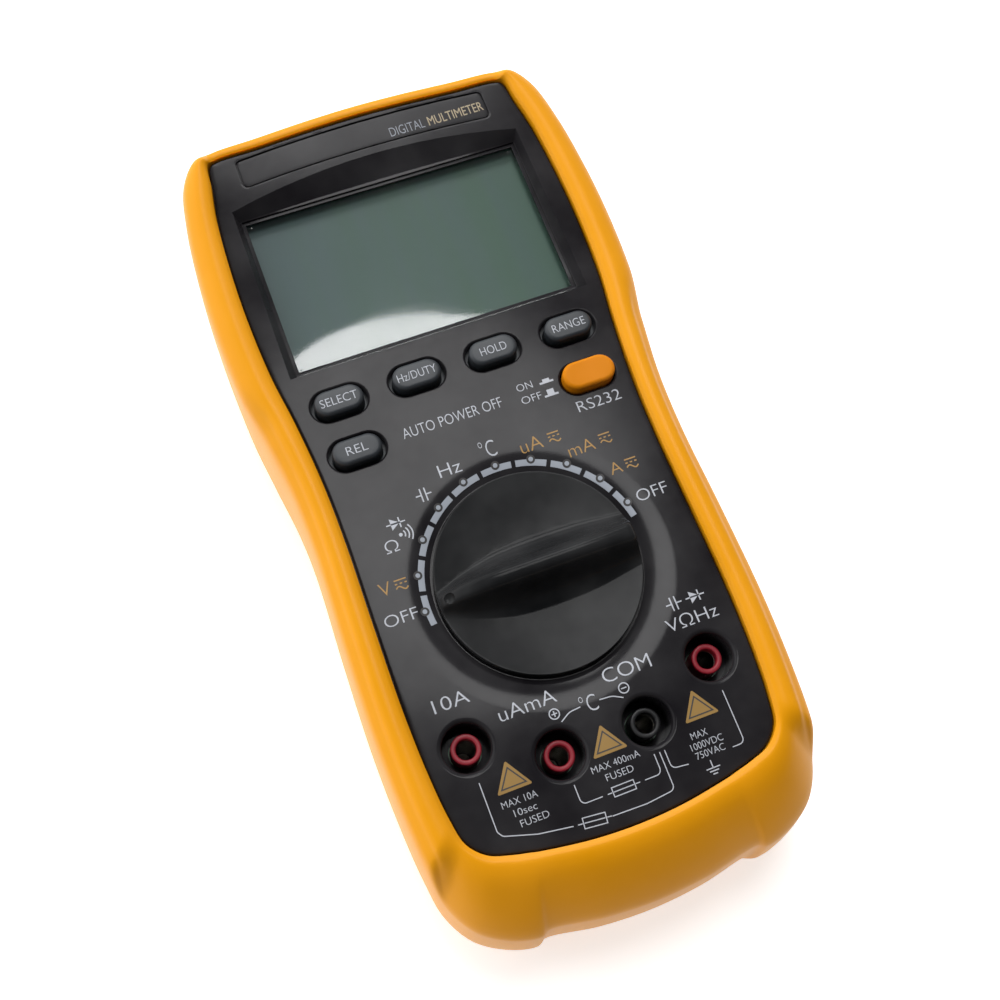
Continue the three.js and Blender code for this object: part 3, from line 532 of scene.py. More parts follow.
# Moulded and plain materials: colour, roughness and what differs from moulded()'s own values.
PLAIN = {
    "holster_yellow": ((0.79, 0.318, 0.0015), 0.38, dict(
        grain=7000, relief=0.012, shade=0.04, specular=0.13, coat=0.03, coat_rough=0.15)),
    "case_dark": ((0.0105, 0.0095, 0.0115), 0.13, dict(
        grain=5200, relief=0.002, shade=0.15, specular=0.105)),
    "rear_case_dark": ((0.03, 0.028, 0.034), 0.55, dict(grain=4500, relief=0.06)),
    "knob_black": ((0.0095, 0.01, 0.011), 0.16, dict(grain=5200, relief=0.002, shade=0.2, specular=0.055)),
    "key_rubber": ((0.018, 0.023, 0.029), 0.5, dict(grain=8000, relief=0.015)),
    "button_orange": ((0.68, 0.22, 0.003), 0.4, dict(relief=0.006, specular=0.055)),
    "frame_black": ((0.012, 0.012, 0.013), 0.5, {}),
    "zebra_rubber": ((0.05, 0.05, 0.055), 0.7, {}),
    "sleeve_red": ((0.27, 0.01, 0.022), 0.35, dict(relief=0.002, specular=0.25)),
    "sleeve_black": ((0.009, 0.009, 0.01), 0.3, dict(relief=0.002, specular=0.2)),
    # socket_nickel is far darker than bright nickel: painted shade, so that the jack bores look dark.
    "socket_nickel": ((0.14, 0.13, 0.115), 0.3, dict(metallic=1.0, relief=0.004)),
    "contact_brass": ((0.6, 0.4, 0.12), 0.3, dict(metallic=1.0, relief=0.006)),
    "screw_steel": ((0.4, 0.41, 0.43), 0.32, dict(metallic=1.0, relief=0.006)),
    "board_green": ((0.015, 0.14, 0.04), 0.4, dict(coat=0.4)),
    "mat_rubber": ((0.06, 0.065, 0.07), 0.65, dict(sheen=0.2)),
    "rotor_white": ((0.75, 0.73, 0.66), 0.45, {}),
    "fuse_ceramic": ((0.78, 0.75, 0.68), 0.35, {}),
    "battery_jacket": ((0.03, 0.08, 0.28), 0.3, dict(coat=0.4)),
    "chip_black": ((0.02, 0.02, 0.022), 0.55, dict(grain=6000)),
    "crystal_can": ((0.6, 0.6, 0.6), 0.28, dict(metallic=1.0, relief=0.004)),
    "varistor_blue": ((0.03, 0.11, 0.4), 0.35, {}),
    "led_clear": ((0.5, 0.55, 0.6), 0.1, {}),
}
MATERIALS = {name: moulded(name, colour, roughness, **others)
             for name, (colour, roughness, others) in PLAIN.items()}
MATERIALS["window_clear"] = window_clear()
MATERIALS["lcd_glass"] = lcd_glass()

INK_COLOURS = {
    "pale": (0.46, 0.48, 0.53), "ring": (0.32, 0.35, 0.4), "gold": (0.36, 0.19, 0.03),
    "amber": (0.28, 0.155, 0.022), "dark": (0.02, 0.018, 0.018), "silver": (0.23, 0.25, 0.29),
    "champagne": (0.34, 0.27, 0.16),
}
# Screen-printed inks, with slightly uneven cover.
INKS = {name: moulded(f"ink_{name}", colour, 0.5, grain=14000, relief=0.004, shade=0.1)
        for name, colour in INK_COLOURS.items()}

# ---------------- holster and stand

RAIL_LIP_Z = 0.6
# Room in the recess at the stand's free end, and at its hinge and sides.
FREE_END_ROOM, SIDE_ROOM = 1.2, 0.6
STAND_WIDTH, STAND_LENGTH = 56, 88
STAND_PIVOT_Y = 62
STAND_LOW_Z, STAND_HIGH_Z = BASE_Z + 0.4, BASE_Z + 2.8


def cross_pin(name, radius, length):
    """A round bar along X on the stand's pivot line."""
    middle_z = (STAND_LOW_Z + STAND_HIGH_Z) / 2
    turns = [math.tau * k / 32 for k in range(32)]
    circle = [(STAND_PIVOT_Y + radius * math.cos(a), middle_z + radius * math.sin(a)) for a in turns]
    return skin(name, [[(x, y, z) for y, z in circle] for x in (-length / 2, length / 2)])


def make_holster():
    crown = [rail_ring(crown_level(k, w / CROWN_STEPS))
             for k in range(len(RAIL_SECTIONS["top"]) - 1) for w in range(CROWN_STEPS)]
    wall_end = rail_ring(crown_level(len(RAIL_SECTIONS["top"]) - 2, 1.0))
    base_edge = rail_ring(lambda turn: (mix_along(turn, BASE_EDGE.get), 0, BASE_Z))
    base_round = rail_ring(lambda turn: (mix_along(turn, BASE_EDGE.get) + 0.03, 0, BASE_Z + 0.4))
    lip_under = SHOULDER_Z + GAP
    inside = [
        rail_ring(lambda turn: (under_rail(turn), CAVITY_GAP, CAVITY_FLOOR_Z)),
        rail_ring(lambda turn: (under_rail(turn), CAVITY_GAP, lip_under)),
        rail_ring(lambda turn: (0, 0, lip_under)),
        rail_ring(lambda turn: (0, 0, RAIL_LIP_Z)),
    ]
    holster = skin("holster_skin", inside + crown + [wall_end, base_round, base_edge])
    stand_low, stand_high = node_box("tilt_stand")
    low_y = stand_low.y - FREE_END_ROOM
    length = stand_high.y + SIDE_ROOM - low_y
    recess_middle = (0, low_y + length / 2)
    recess_edge = [(0.8, BASE_Z - 1), (0.8, BASE_Z), (0, BASE_Z + 0.8), (0, BASE_Z + 3.2)]
    recess_outline = rectangle(recess_middle, STAND_WIDTH + 2 * SIDE_ROOM, length, 2.6)
    recess = tower("recess", recess_outline, rounded(recess_edge, 0.5, 4))
    window = tower("window", rectangle((0, 12), 26, 40, 6), [(0, BASE_Z), (0, CAVITY_FLOOR_Z + 1)])
    pivot_hole = cross_pin("pivot_hole", 1.25, STAND_WIDTH + 6.6)
    return settle(cut(holster, recess, window, pivot_hole), "meter", "holster_yellow", ["holster"], 40)


def make_stand():
    low, high = STAND_LOW_Z, STAND_HIGH_Z
    middle = (0, STAND_PIVOT_Y - STAND_LENGTH / 2)
    edges = [(-0.5, low), (0, low + 0.5), (0, high - 0.5), (-0.5, high)]
    plate = tower("stand_plate", rectangle(middle, STAND_WIDTH, STAND_LENGTH, 2), edges)
    flare = [(0.5, low - 1), (0.5, low), (0, low + 0.5), (0, high - 0.5), (0.5, high), (0.5, high + 1)]
    cut(plate, tower("stand_opening", rectangle((0, STAND_PIVOT_Y - 46), 34, 52, 7), flare))
    levels = [(0, low + 0.3), (0, low - 0.1), (-0.2, low - 0.3)]
    ribs = [tower(f"stand_rib_{k}", stadium((0, STAND_PIVOT_Y - 85 + 3 * k), 30, 1.2), levels)
            for k in range(4)]
    barrel = cross_pin("stand_barrel", 1.2, STAND_WIDTH - 5)
    pins = cross_pin("stand_pins", 0.9, STAND_WIDTH + 5)
    return settle(weld(plate, barrel, pins, *ribs), "stand", SLOT_OF["tilt_stand"], ["tilt_stand"], 35)


# ---------------- front case

ARCH_STEPS = 12


def arched(half_low, half_high, low, high, rise):
    """A four-sided outline whose top side is an arch."""
    corners = [(-half_low, low), (half_low, low), (half_high, high), (-half_high, high)]
    points = []
    for side in range(4):
        start, end = Vector(corners[side]), Vector(corners[(side + 1) % 4])
        for k in range(ARCH_STEPS):
            x, y = start.lerp(end, k / ARCH_STEPS)
            if side == 2:
                y += rise * (1 - (x / half_high) ** 2)
            points.append((x, y))
    return points


# Display bezel: share of the way from the crease on the face to the window, and the height.
BEZEL_SLOPE = [(-0.3, 0.7), (0, 0), (0.9, -2.2), (1, -2.3)]
# Then the steps down to the glass: offset from the window's outline, and the height.
BEZEL_STEPS = [(0, -2.8), (-0.75, -2.85), (-0.8, -3.3), (-1.2, -3.35), (-1.2, -6)]
WINDOW_HALF_WIDTH, WINDOW_HALF_LENGTH = 33.2, 20.0


def bezel_cutter():
    crease = arched(34.9, 34.4, 58.6, 102.0, 4.3)
    opening = arched(WINDOW_HALF_WIDTH, WINDOW_HALF_WIDTH,
                     LCD_Y - WINDOW_HALF_LENGTH, LCD_Y + WINDOW_HALF_LENGTH, 0)
    rings = []
    for share, z in rounded(BEZEL_SLOPE, [0, 0.35, 0.2, 0], 4):
        rings.append([(a[0] + (b[0] - a[0]) * share, a[1] + (b[1] - a[1]) * share, z)
                      for a, b in zip(crease, opening)])
    for offset, z in rounded(BEZEL_STEPS, 0.08, 3):
        half, length = WINDOW_HALF_WIDTH + offset, WINDOW_HALF_LENGTH + offset
        rings.append([(x, y, z) for x, y in arched(half, half, LCD_Y - length, LCD_Y + length, 0)])
    return skin("bezel", rings)


# The name strip above the display: half its length, the heights of its ends, and its arch.
STRIP_HALF, STRIP_LOW_Y, STRIP_HIGH_Y, STRIP_ARCH, STRIP_RADIUS = 30, 106.9, 114.3, 1.3, 1.2


def strip_outline(offset):
    """The outline of the name strip, arched along both long sides."""
    half, low_y, high_y = STRIP_HALF + offset, STRIP_LOW_Y - offset, STRIP_HIGH_Y + offset
    places = (20, 10, 0, -10, -20)
    arch = [STRIP_ARCH * (1 - (x / STRIP_HALF) ** 2) for x in places]
    high = [(x, high_y + rise) for x, rise in zip(places, arch)]
    low = [(x, low_y + rise) for x, rise in zip(reversed(places), arch)]
    points = [(half, low_y), (half, high_y)] + high + [(-half, high_y), (-half, low_y)] + low
    radii = ([STRIP_RADIUS + offset] * 2 + [0] * len(places)) * 2
    return rounded(points, radii, 5, closed=True)


# Wells are cut this much high, so that their rims don't lie in the face plane.
CUT_LIFT = 0.001


def dish_height(radius):
    """The height of the face at that distance from the dial centre."""
    if radius <= DISH_FLOOR_RADIUS:
        return -DISH_DEPTH
    if radius >= DISH_RADIUS:
        return 0.0
    part = (DISH_RADIUS - radius) / (DISH_RADIUS - DISH_FLOOR_RADIUS)
    return -DISH_DEPTH * part ** 2


def dish_cutter():
    profile = [(DISH_FLOOR_RADIUS - 0.01, -DISH_DEPTH)]
    for k in range(13):
        radius = DISH_FLOOR_RADIUS + (DISH_RADIUS - DISH_FLOOR_RADIUS) * k / 12
        profile.append((radius, dish_height(radius)))
    profile.append((DISH_RADIUS + 0.05, 1))
    return turned("dish", (0, 0), profile, 160)


def well_cutter(name, outline):
    """Cuts a key's well, with its rim rounded over."""
    profile = rounded([(0, -6), (0, 0), (1.2, 0), (1.2, 0.8)], [0, 0.5, 0, 0], 6)
    return tower(name, outline, [(offset, z + CUT_LIFT) for offset, z in profile])


def jack_cutters(name, centre):
    rim = 5.05
    profile = rounded([(rim, -8.2), (rim, 0), (rim + 2.2, 0), (rim + 2.2, 0.8)], [0, 1.0, 0, 0], 8)
    well = turned(f"well_{name}", centre, [(r, z + CUT_LIFT) for r, z in profile], 72)
    hole = turned(f"hole_{name}", centre, [(3.5, -12), (3.5, -7)], 48)
    return [well, hole]


def make_front_case():
    edge = rounded([(0, SHOULDER_Z), (0, 0), (-1.1, 0)], [0, 0.5, 0], 5)
    rings = [case_ring(0, PARTING_Z), case_ring(0, SHOULDER_Z)]
    rings += [face_ring(offset, z) for offset, z in edge]
    case = skin("front_case", rings)
    inner_shoulder_z = SHOULDER_Z - SHELL_WALL
    inside = [case_ring(-SHELL_WALL, PARTING_Z - 1), case_ring(-SHELL_WALL, inner_shoulder_z),
              face_ring(-SHELL_WALL, inner_shoulder_z), face_ring(-SHELL_WALL, -FACE_PLATE)]
    cut(case, skin("hollow", inside))
    bezel_block = tower("bezel_block", rectangle((0, LCD_Y), 71, 45, 2), [(0, -5.2), (0, -1.2)])
    cups = [turned(f"cup_{name}", centre, [(6.3, -9.4), (6.3, -1.2)], 48) for name, centre in JACKS.items()]
    posts, holes = [], []
    for number in (1, 2, 3, 4):
        x, y = node_middle(f"case_screw_{number}")
        posts.append(turned(f"case_post_{number}", (x, y), [(3.3, PARTING_Z), (3.3, -1.2)], 32))
        holes.append(turned(f"case_hole_{number}", (x, y), [(1.8, PARTING_Z - 1), (1.8, -5)], 32))
    for number in (1, 2, 3):
        x, y = node_middle(f"board_screw_{number}")
        posts.append(turned(f"board_post_{number}", (x, y), [(2.4, -9.7), (2.4, -1.2)], 32))
        holes.append(turned(f"board_hole_{number}", (x, y), [(1.4, -11), (1.4, -4.5)], 32))
    weld(case, bezel_block, *cups, *posts)
    wells = [well_cutter(name, stadium(centre, 12.7, 7.4)) for name, centre in KEYS.items()]
    button_well = well_cutter("button_well", stadium(BUTTON, 12.7, 7.3))
    jacks = [tool for name, centre in JACKS.items() for tool in jack_cutters(name, centre)]
    shaft = turned("shaft", (0, 0), [(7.1, -10), (7.1, 1)], 48)
    groove = turned("groove", (0, 0), [(21.4, -1.0), (21.4, -2.0), (22.45, -2.0), (22.45, -1.0)], 160, True)
    seat_edge = rounded([(0, -0.5), (0, 0), (0.6, 0), (0.6, 1)], [0, 0.15, 0, 0], 4)
    strip = tower("strip_seat", strip_outline, seat_edge)
    lens = tower("lens_seat", rectangle((0, LCD_Y), 67.2, 41.2, 1), [(0, -7), (0, LENS_HIGH.z + GAP)])
    cut(case, bezel_cutter(), lens, dish_cutter(), groove, shaft, strip)
    cut(case, *wells, button_well, *jacks, *holes)
    return settle(case, "meter", "case_dark", ["front_shell"], 35)


def make_name_strip():
    levels = rounded([(-0.25, -0.45), (-0.25, -0.12), (-1, -0.12)], [0, 0.15, 0], 4)
    strip = tower("name_strip", strip_outline, levels)
    return settle(strip, "meter", "case_dark")


def make_lens():
    levels = rounded([(0, LENS_LOW.z), (0, LENS_HIGH.z), (-3, LENS_HIGH.z)], [0, 0.2, 0], 4)
    size = LENS_HIGH - LENS_LOW
    lens = tower("lcd_window_glass", rectangle((0, LCD_Y), size.x, size.y, 1), levels)
    return settle(lens, "meter", "window_clear", ["lcd_window"])


# ---------------- knob

# Along the bar from the pointer to the heel: place, half width at the foot and at the top, height.
BAR_RIBS = [(-1, 3.0, 1.3, 3.4), (-0.68, 5.8, 2.3, 7.3), (-0.27, 8.0, 2.7, 8.7),
            (0.45, 8.2, 2.7, 8.7), (1, 6.4, 2.6, 8.3)]
HEEL_LEAN = 0.2
FLARE = 2.5
CREST_DROP = 0.32
END_SHARE, END_DROP = 0.06, 1.1
BAR_RADIUS = KNOB_RADIUS - 0.15
RIM_Z = 1.2
BOWL_DEPTH = 1.7
BAR_TOP = 8.7
DIMPLE_PLACE, DIMPLE_TILT = (-20.0, 0, 4.7), -27


def bowl_height(x, y):
    """The height of the disc, which is hollowed like a shallow bowl."""
    return RIM_Z - BOWL_DEPTH * (1 - (x * x + y * y) / KNOB_RADIUS ** 2)


def bar_point(s, across):
    """A point on the bar's skin, at share s along it and share across from its middle."""
    places, feet, tops, heights = zip(*BAR_RIBS)
    foot = curve_value(s, places, feet)
    top = curve_value(s, places, tops)
    near_end = max(abs(s) - (1 - END_SHARE), 0) / END_SHARE
    rounding = END_DROP * (1 - math.sqrt(max(1 - near_end ** 2, 0)))
    height = min(curve_value(s, places, heights), BAR_TOP) - rounding
    y = across * foot
    reach = math.sqrt(BAR_RADIUS ** 2 - y * y)
    ground = bowl_height(s * reach, y)
    slope = FLARE * (1 - CREST_DROP) / (foot - top)
    if abs(y) <= top:
        rise = 1 - CREST_DROP * (abs(y) / top) ** (slope * top / CREST_DROP)
    else:
        rise = (1 - CREST_DROP) * ((foot - abs(y)) / (foot - top)) ** FLARE
    z = ground + (height - ground) * rise
    return s * (reach - HEEL_LEAN * (z - ground) * max(s, 0)), y, z


def make_knob():
    around, along = 48, 90
    rings = []
    for i in range(along + 1):
        s = math.sin(math.pi / 2 * (2 * i / along - 1))
        ring = [bar_point(s, math.sin(math.pi / 2 * (2 * k / around - 1))) for k in range(around + 1)]
        ring += [(x, y, z - 0.15) for x, y, z in (ring[-1], ring[0])]
        rings.append(ring)
    bar = skin("bar", rings)
    bowl = [(r, bowl_height(r, 0)) for r in (21.6, 20, 17, 14, 11, 8, 5, 2, 0.5)]
    edge = [(6.8, -3.9), (6.8, -0.7), (KNOB_RADIUS, -0.7), (KNOB_RADIUS, RIM_Z), bowl[0], bowl[1]]
    disc = turned("knob_turned", (0, 0), rounded(edge, [0, 0, 0.1, 0.4, 0, 0], 6) + bowl[2:], 160)
    spindle = turned("spindle", (0, 0), [(3.4, -7.2), (3.4, -3.5)], 48)
    knob = weld(disc, spindle, bar)
    dimple = rounded([(0.5, -1.0), (1.15, -0.5), (1.3, 0), (2.4, 0.35), (2.4, 3)], [0, 0.4, 0.2, 0, 0], 4)
    mark = turned("mark", (0, 0), dimple, 40)
    tilt = Matrix.Rotation(math.radians(DIMPLE_TILT), 4, "Y")
    tip = Vector(DIMPLE_PLACE) * MM
    mark.data.transform(Matrix.Translation(ORIGIN + tip) @ tilt @ Matrix.Translation(-ORIGIN))
    cut(knob, mark)
    return settle(knob, "selector", "knob_black", ["knob"], 38)


# ---------------- keys, button and jacks


def key_body(name):
    """The body that a key rides on: key_hold rides on hold_key."""
    return name.removeprefix("key_") + "_key"


def make_key(name, centre):
    high = node_box(name)[1].z
    levels = rounded([(1.3, -4.2), (1.3, -2.7), (0, -2.7), (0, high - 0.1), (-2.0, high)],
                     [0, 0.2, 0.2, 1.0, 0], 6)
    cap = tower(f"{name}_cap", stadium(centre, 11, 5.9, 20), levels)
    stem = turned(f"{name}_stem", centre, [(2, -7.4), (2, -4)], 32)
    return settle(weld(cap, stem), key_body(name), "key_rubber", [name], 40)


def make_button():
    high = node_box("button_rs232")[1].z
    levels = rounded([(0, -2.2), (0, high), (-2.0, high)], [0, 0.9, 0], 6)
    cap = tower("button_cap", stadium(BUTTON, 12, 6.5, 20), levels)
    stem = tower("button_stem", rectangle(BUTTON, 5, 3, 0.4), [(0, -2.6), (0, -2)])
    return settle(weld(cap, stem), "rs232_button", "button_orange", ["button_rs232"], 40)


def make_jack(name, centre):
    sleeve = [(2.1, -5.2), (2.8, -5.2), (2.8, -9.4), (3.2, -9.4), (3.2, -2.8), (2.1, -2.8)]
    profile = rounded(sleeve, [0, 0, 0, 0.1, 0.35, 0.35], 5, closed=True)
    ring = turned(f"sleeve_{name}", centre, profile, 72, True)
    slot = SLOT_OF[f"jack_sleeve_{name}"]
    settle(ring, "meter", slot, [f"jack_sleeve_{name}"], 40)
    low, high = node_box(f"jack_socket_{name}")
    tube = [(0.4, low.z), (2.5, low.z), (2.5, -12.9), (4.3, -12.9), (4.3, -11.9),
            (2.5, -11.9), (2.5, high.z), (2.05, high.z), (2.05, low.z + 1), (0.4, low.z + 1)]
    profile = rounded(tube, [0, 0.3, 0, 0.2, 0.2, 0, 0.15, 0.15, 0.3, 0], 4, closed=True)
    socket = turned(f"socket_{name}", centre, profile, 64, True)
    settle(socket, "meter", "socket_nickel", [f"jack_socket_{name}"], 40)


# ---------------- printing on the face

INK_THICK = 0.03
INK_UNDER = -0.01
STRIP_INK_Z = -0.12
LINE, FINE_LINE, FINEST_LINE = 0.28, 0.22, 0.2
# How much letters are thinned, as a share of their font size.
THIN = 0.012


def refine(piece, longest):
    """Splits long edges, so that a print can follow a curved surface."""
    work = bmesh.new()
    work.from_mesh(piece.data)
    bmesh.ops.triangulate(work, faces=work.faces)
    for attempt in range(5):
        edges = [edge for edge in work.edges if edge.calc_length() > longest * MM]
        if not edges:
            break
        bmesh.ops.subdivide_edges(work, edges=edges, cuts=1)
        bmesh.ops.triangulate(work, faces=work.faces)
    work.to_mesh(piece.data)
    work.free()


def drape(piece, base_z=None):
    """Lays a flat print, drawn at z from 0 to INK_THICK, on the face."""
    if base_z is None:
        refine(piece, 0.8)
    for vertex in piece.data.vertices:
        place = (vertex.co - ORIGIN) / MM
        ground = dish_height(math.hypot(place.x, place.y)) if base_z is None else base_z
        vertex.co.z = ORIGIN.z + (ground + place.z) * MM
    return piece


def ribbon(points, width, closed=False):
    """A printed line of that width through points."""
    count = len(points)
    left, right = [], []
    for i in range(count):
        here = Vector(points[i])
        before = Vector(points[i - 1]) if i or closed else here
        after = Vector(points[(i + 1) % count]) if i + 1 < count or closed else here
        first, second = here - before, after - here
        first = (first if first.length else second).normalized()
        second = (second if second.length else first).normalized()
        across = Vector((-(first + second).y, (first + second).x)).normalized()
        reach = width / 2 / max(across.dot(Vector((-first.y, first.x))), 0.4)
        left.append(here + across * reach)
        right.append(here - across * reach)
    rings = []
    for a, b in zip(left, right):
        rings.append([(a.x, a.y, INK_UNDER), (b.x, b.y, INK_UNDER),
                      (b.x, b.y, INK_THICK), (a.x, a.y, INK_THICK)])
    return skin("line", rings, joined_ends=closed)


def spot(outline_points):
    """A printed filled shape."""
    rings = [[(x, y, z) for x, y in outline_points] for z in (INK_UNDER, INK_THICK)]
    return skin("spot", rings)


def disc_outline(centre, radius, steps=28):
    return [(centre[0] + radius * math.cos(2 * math.pi * k / steps),
             centre[1] + radius * math.sin(2 * math.pi * k / steps)) for k in range(steps)]


def arc(centre, radius, start, end, steps=10):
    """Points on an arc; angles in degrees from +X."""
    angles = [math.radians(start + (end - start) * k / steps) for k in range(steps + 1)]
    return [(centre[0] + radius * math.cos(a), centre[1] + radius * math.sin(a)) for a in angles]


def lettering(text, left, right, low, high, thin=0.0):
    """Text in the built-in font, fitted to a box."""
    data = bpy.data.curves.new("text", "FONT")
    data.body = text
    data.offset = -thin
    data.extrude = 0.5
    data.resolution_u = 4
    letters = new_object("text", data)
    bpy.context.view_layer.update()
    mesh = bpy.data.meshes.new_from_object(letters.evaluated_get(bpy.context.evaluated_depsgraph_get()))
    bpy.data.objects.remove(letters)
    xs = [v.co.x for v in mesh.vertices]
    ys = [v.co.y for v in mesh.vertices]
    for vertex in mesh.vertices:
        x = left + (vertex.co.x - min(xs)) / (max(xs) - min(xs)) * (right - left)
        y = low + (vertex.co.y - min(ys)) / (max(ys) - min(ys)) * (high - low)
        z = INK_THICK if vertex.co.z > 0 else INK_UNDER
        vertex.co = ORIGIN + Vector((x, y, z)) * MM
    work = bmesh.new()
    work.from_mesh(mesh)
    bmesh.ops.remove_doubles(work, verts=work.verts, dist=SAME_PLACE)
    work.to_mesh(mesh)
    work.free()
    return new_object("text", mesh)


def wave(x, y, width):
    """The mark for direct and alternating current: a bar, a dashed bar and a wave."""
    top, middle, low = y + 0.95, y + 0.15, y - 0.85
    dash = width / 5
    parts = [ribbon([(x - width / 2, top), (x + width / 2, top)], LINE)]
    for k in (0, 2, 4):
        start = x - width / 2 + k * dash
        parts.append(ribbon([(start, middle), (start + dash, middle)], LINE))
    crest = [(x - width / 2 + width * s / 12, low + 0.42 * math.sin(2 * math.pi * s / 12))
             for s in range(13)]
    parts.append(ribbon(crest, LINE))
    return parts


def capacitor(x, y):
    plates = [[(x + side * 0.5, y - 1.5), (x + side * 0.5, y + 1.5)] for side in (-1, 1)]
    leads = [[(x + side * 0.5, y), (x + side * 1.75, y)] for side in (-1, 1)]
    return [ribbon(line, LINE) for line in plates + leads]


def diode(x, y):
    body = spot([(x - 1.1, y - 1.3), (x + 0.8, y), (x - 1.1, y + 1.3)])
    lines = [[(x - 2.1, y), (x + 2.1, y)], [(x + 0.85, y - 1.15), (x + 0.85, y + 1.15)]]
    return [body] + [ribbon(line, LINE) for line in lines]


def buzzer_mark(x, y):
    parts = [spot(disc_outline((x, y), 0.4, 12))]
    for radius in (1.1, 1.9, 2.7):
        parts.append(ribbon(arc((x - 0.1, y), radius, -38, 38), LINE))
    return parts


def signed_ring(x, y, plus):
    parts = [ribbon(disc_outline((x, y), 1.05), 0.24, closed=True),
             ribbon([(x - 0.6, y), (x + 0.6, y)], 0.24)]
    if plus:
        parts += [ribbon([(x, y + side * 0.12), (x, y + side * 0.6)], 0.24) for side in (-1, 1)]
    return parts


def fuse_mark(x, y, tilt, height):
    """A box with a line through it, which stands out on both sides."""
    width, reach = 4.7, 3.5
    turn = Matrix.Rotation(math.radians(tilt), 2)

    def place(point):
        return tuple(Vector((x, y)) + turn @ Vector(point))

    box = [(i * width / 2, j * height / 2) for i, j in CORNERS]
    inside = width / 2 - FINEST_LINE
    parts = [ribbon([place(p) for p in box], FINEST_LINE, closed=True)]
    for a, b in ((-reach, -width / 2 - FINEST_LINE), (-inside, inside), (width / 2 + FINEST_LINE, reach)):
        parts.append(ribbon([place((a, 0)), place((b, 0))], FINEST_LINE))
    return parts


RING_CENTRE = (0, 0.2)
RING_INNER, RING_OUTER = 23.68, 25.05
POSITIONS = 10
POSITION_ANGLE = 18


def lift_ink(piece, layers):
    """Raises the top of a print by that many layers of ink."""
    for vertex in piece.data.vertices:
        if vertex.co.z > ORIGIN.z:
            vertex.co.z += layers * INK_THICK * MM


def dial_ring():
    """Ten pale arcs round the knob, each with a ringed dot at its dial position."""
    pale, dark = [], []
    for k in range(POSITIONS):
        angle = 180 - POSITION_ANGLE * k
        low = angle - (7.4 if k == POSITIONS - 1 else 7.9)
        high = angle + (7.5 if k == 0 else 7.9)
        inner = arc(RING_CENTRE, RING_INNER, high, low, 12)
        pale.append(spot(arc(RING_CENTRE, RING_OUTER, low, high, 12) + inner))
        x = RING_OUTER * math.cos(math.radians(angle))
        y = RING_CENTRE[1] + RING_OUTER * math.sin(math.radians(angle))
        dot = spot(disc_outline((x, y), 0.5, 20))
        halo = spot(disc_outline((x, y), 0.95, 24))
        lift_ink(halo, 1)
        lift_ink(dot, 2)
        pale.append(dot)
        dark.append(halo)
    return pale, dark


def triangle_mark(x, low, high):
    outer = [(x - 3.8, low), (x + 3.8, low), (x, high)]
    return spot(rounded(outer, 0.25, 3, closed=True))


def triangle_line(x, low, high):
    inner = [(x - 2.6, low + 0.75), (x + 2.6, low + 0.75), (x, high - 1.45)]
    line = ribbon(inner, LINE, closed=True)
    lift_ink(line, 1)
    return line


# Words on the face, each with the box it fills: left, right, low and high.
PALE_WORDS = [
    ("AUTO POWER OFF", -16.3, 6.5, 37.3, 39.7), ("ON", 10.7, 14.3, 39.3, 41.0),
    ("OFF", 10.7, 15.3, 36.2, 37.9), ("RS232", 21.7, 31.8, 30.4, 32.9),
    ("OFF", -33.7, -26.5, -0.6, 1.9), ("Ω", -28.3, -25.4, 14.3, 17.0),
    ("Hz", -12.0, -7.0, 26.4, 29.2), ("°C", -2.0, 1.5, 27.3, 31.2),
    ("OFF", 26.0, 33.0, 7.0, 9.6), ("VΩHz", 20.8, 32.3, -21.6, -18.7),
    ("10A", -30.4, -22.8, -20.5, -17.7), ("uAmA", -18.5, -6.2, -26.6, -23.7),
    ("COM", 4.3, 14.8, -26.7, -23.7), ("°C", -2.2, 1.3, -31.0, -27.4),
    ("MAX 10A", -24.3, -16.8, -42.8, -41.4), ("10sec", -22.5, -17.7, -45.0, -43.6),
    ("FUSED", -22.0, -16.0, -47.3, -45.9), ("MAX 400mA", -5.0, 5.4, -42.7, -41.3),
    ("FUSED", -2.8, 3.1, -45.0, -43.6), ("MAX", 16.5, 20.0, -43.5, -42.1),
    ("1000VDC", 15.6, 22.6, -45.6, -44.2), ("750VAC", 15.9, 22.2, -47.5, -46.1),
]
GOLD_WORDS = [
    ("V", -32.5, -30.0, 6.0, 8.8), ("uA", 6.5, 11.5, 25.6, 28.6),
    ("mA", 16.0, 22.0, 21.4, 24.2), ("A", 22.9, 25.6, 14.6, 17.2),
]
# The lines that lead from the jacks to their ratings and fuses.
BRACKETS = [
    [(-26.9, -36.3), (-26.9, -46.5), (-26.1, -47.6), (-19.5, -49.6), (-12.4, -50.7)],
    [(-4.4, -51.6), (3, -51.8), (9.3, -51.2), (9.3, -43.3)],
    [(-9.3, -43.3), (-9.3, -47.4), (-4.8, -47.4)], [(4.4, -47.4), (8.1, -47.4), (8.1, -43.3)],
    [(10.4, -43.3), (10.4, -47.2), (13.9, -47.6)], [(26.4, -36.3), (26.4, -47.6), (23.7, -47.6)],
]
TEMPERATURE_LEADS = [
    [(-2.3, -29.3), (-4.8, -29.5), (-7.0, -30.8)], [(1.9, -29.3), (4.6, -29.5), (6.7, -30.6)],
]
EARTH_MARK = [
    [(18.3, -48.4), (18.3, -50.0)], [(16.8, -50.0), (19.8, -50.0)],
    [(17.3, -50.6), (19.3, -50.6)], [(17.8, -51.2), (18.8, -51.2)],
]
# Each key's word and its width.
KEY_WORDS = {"key_select": ("SELECT", 8.3), "key_hz_duty": ("Hz/DUTY", 8.8), "key_hold": ("HOLD", 6.0),
             "key_range": ("RANGE", 7.6), "key_rel": ("REL", 4.7)}


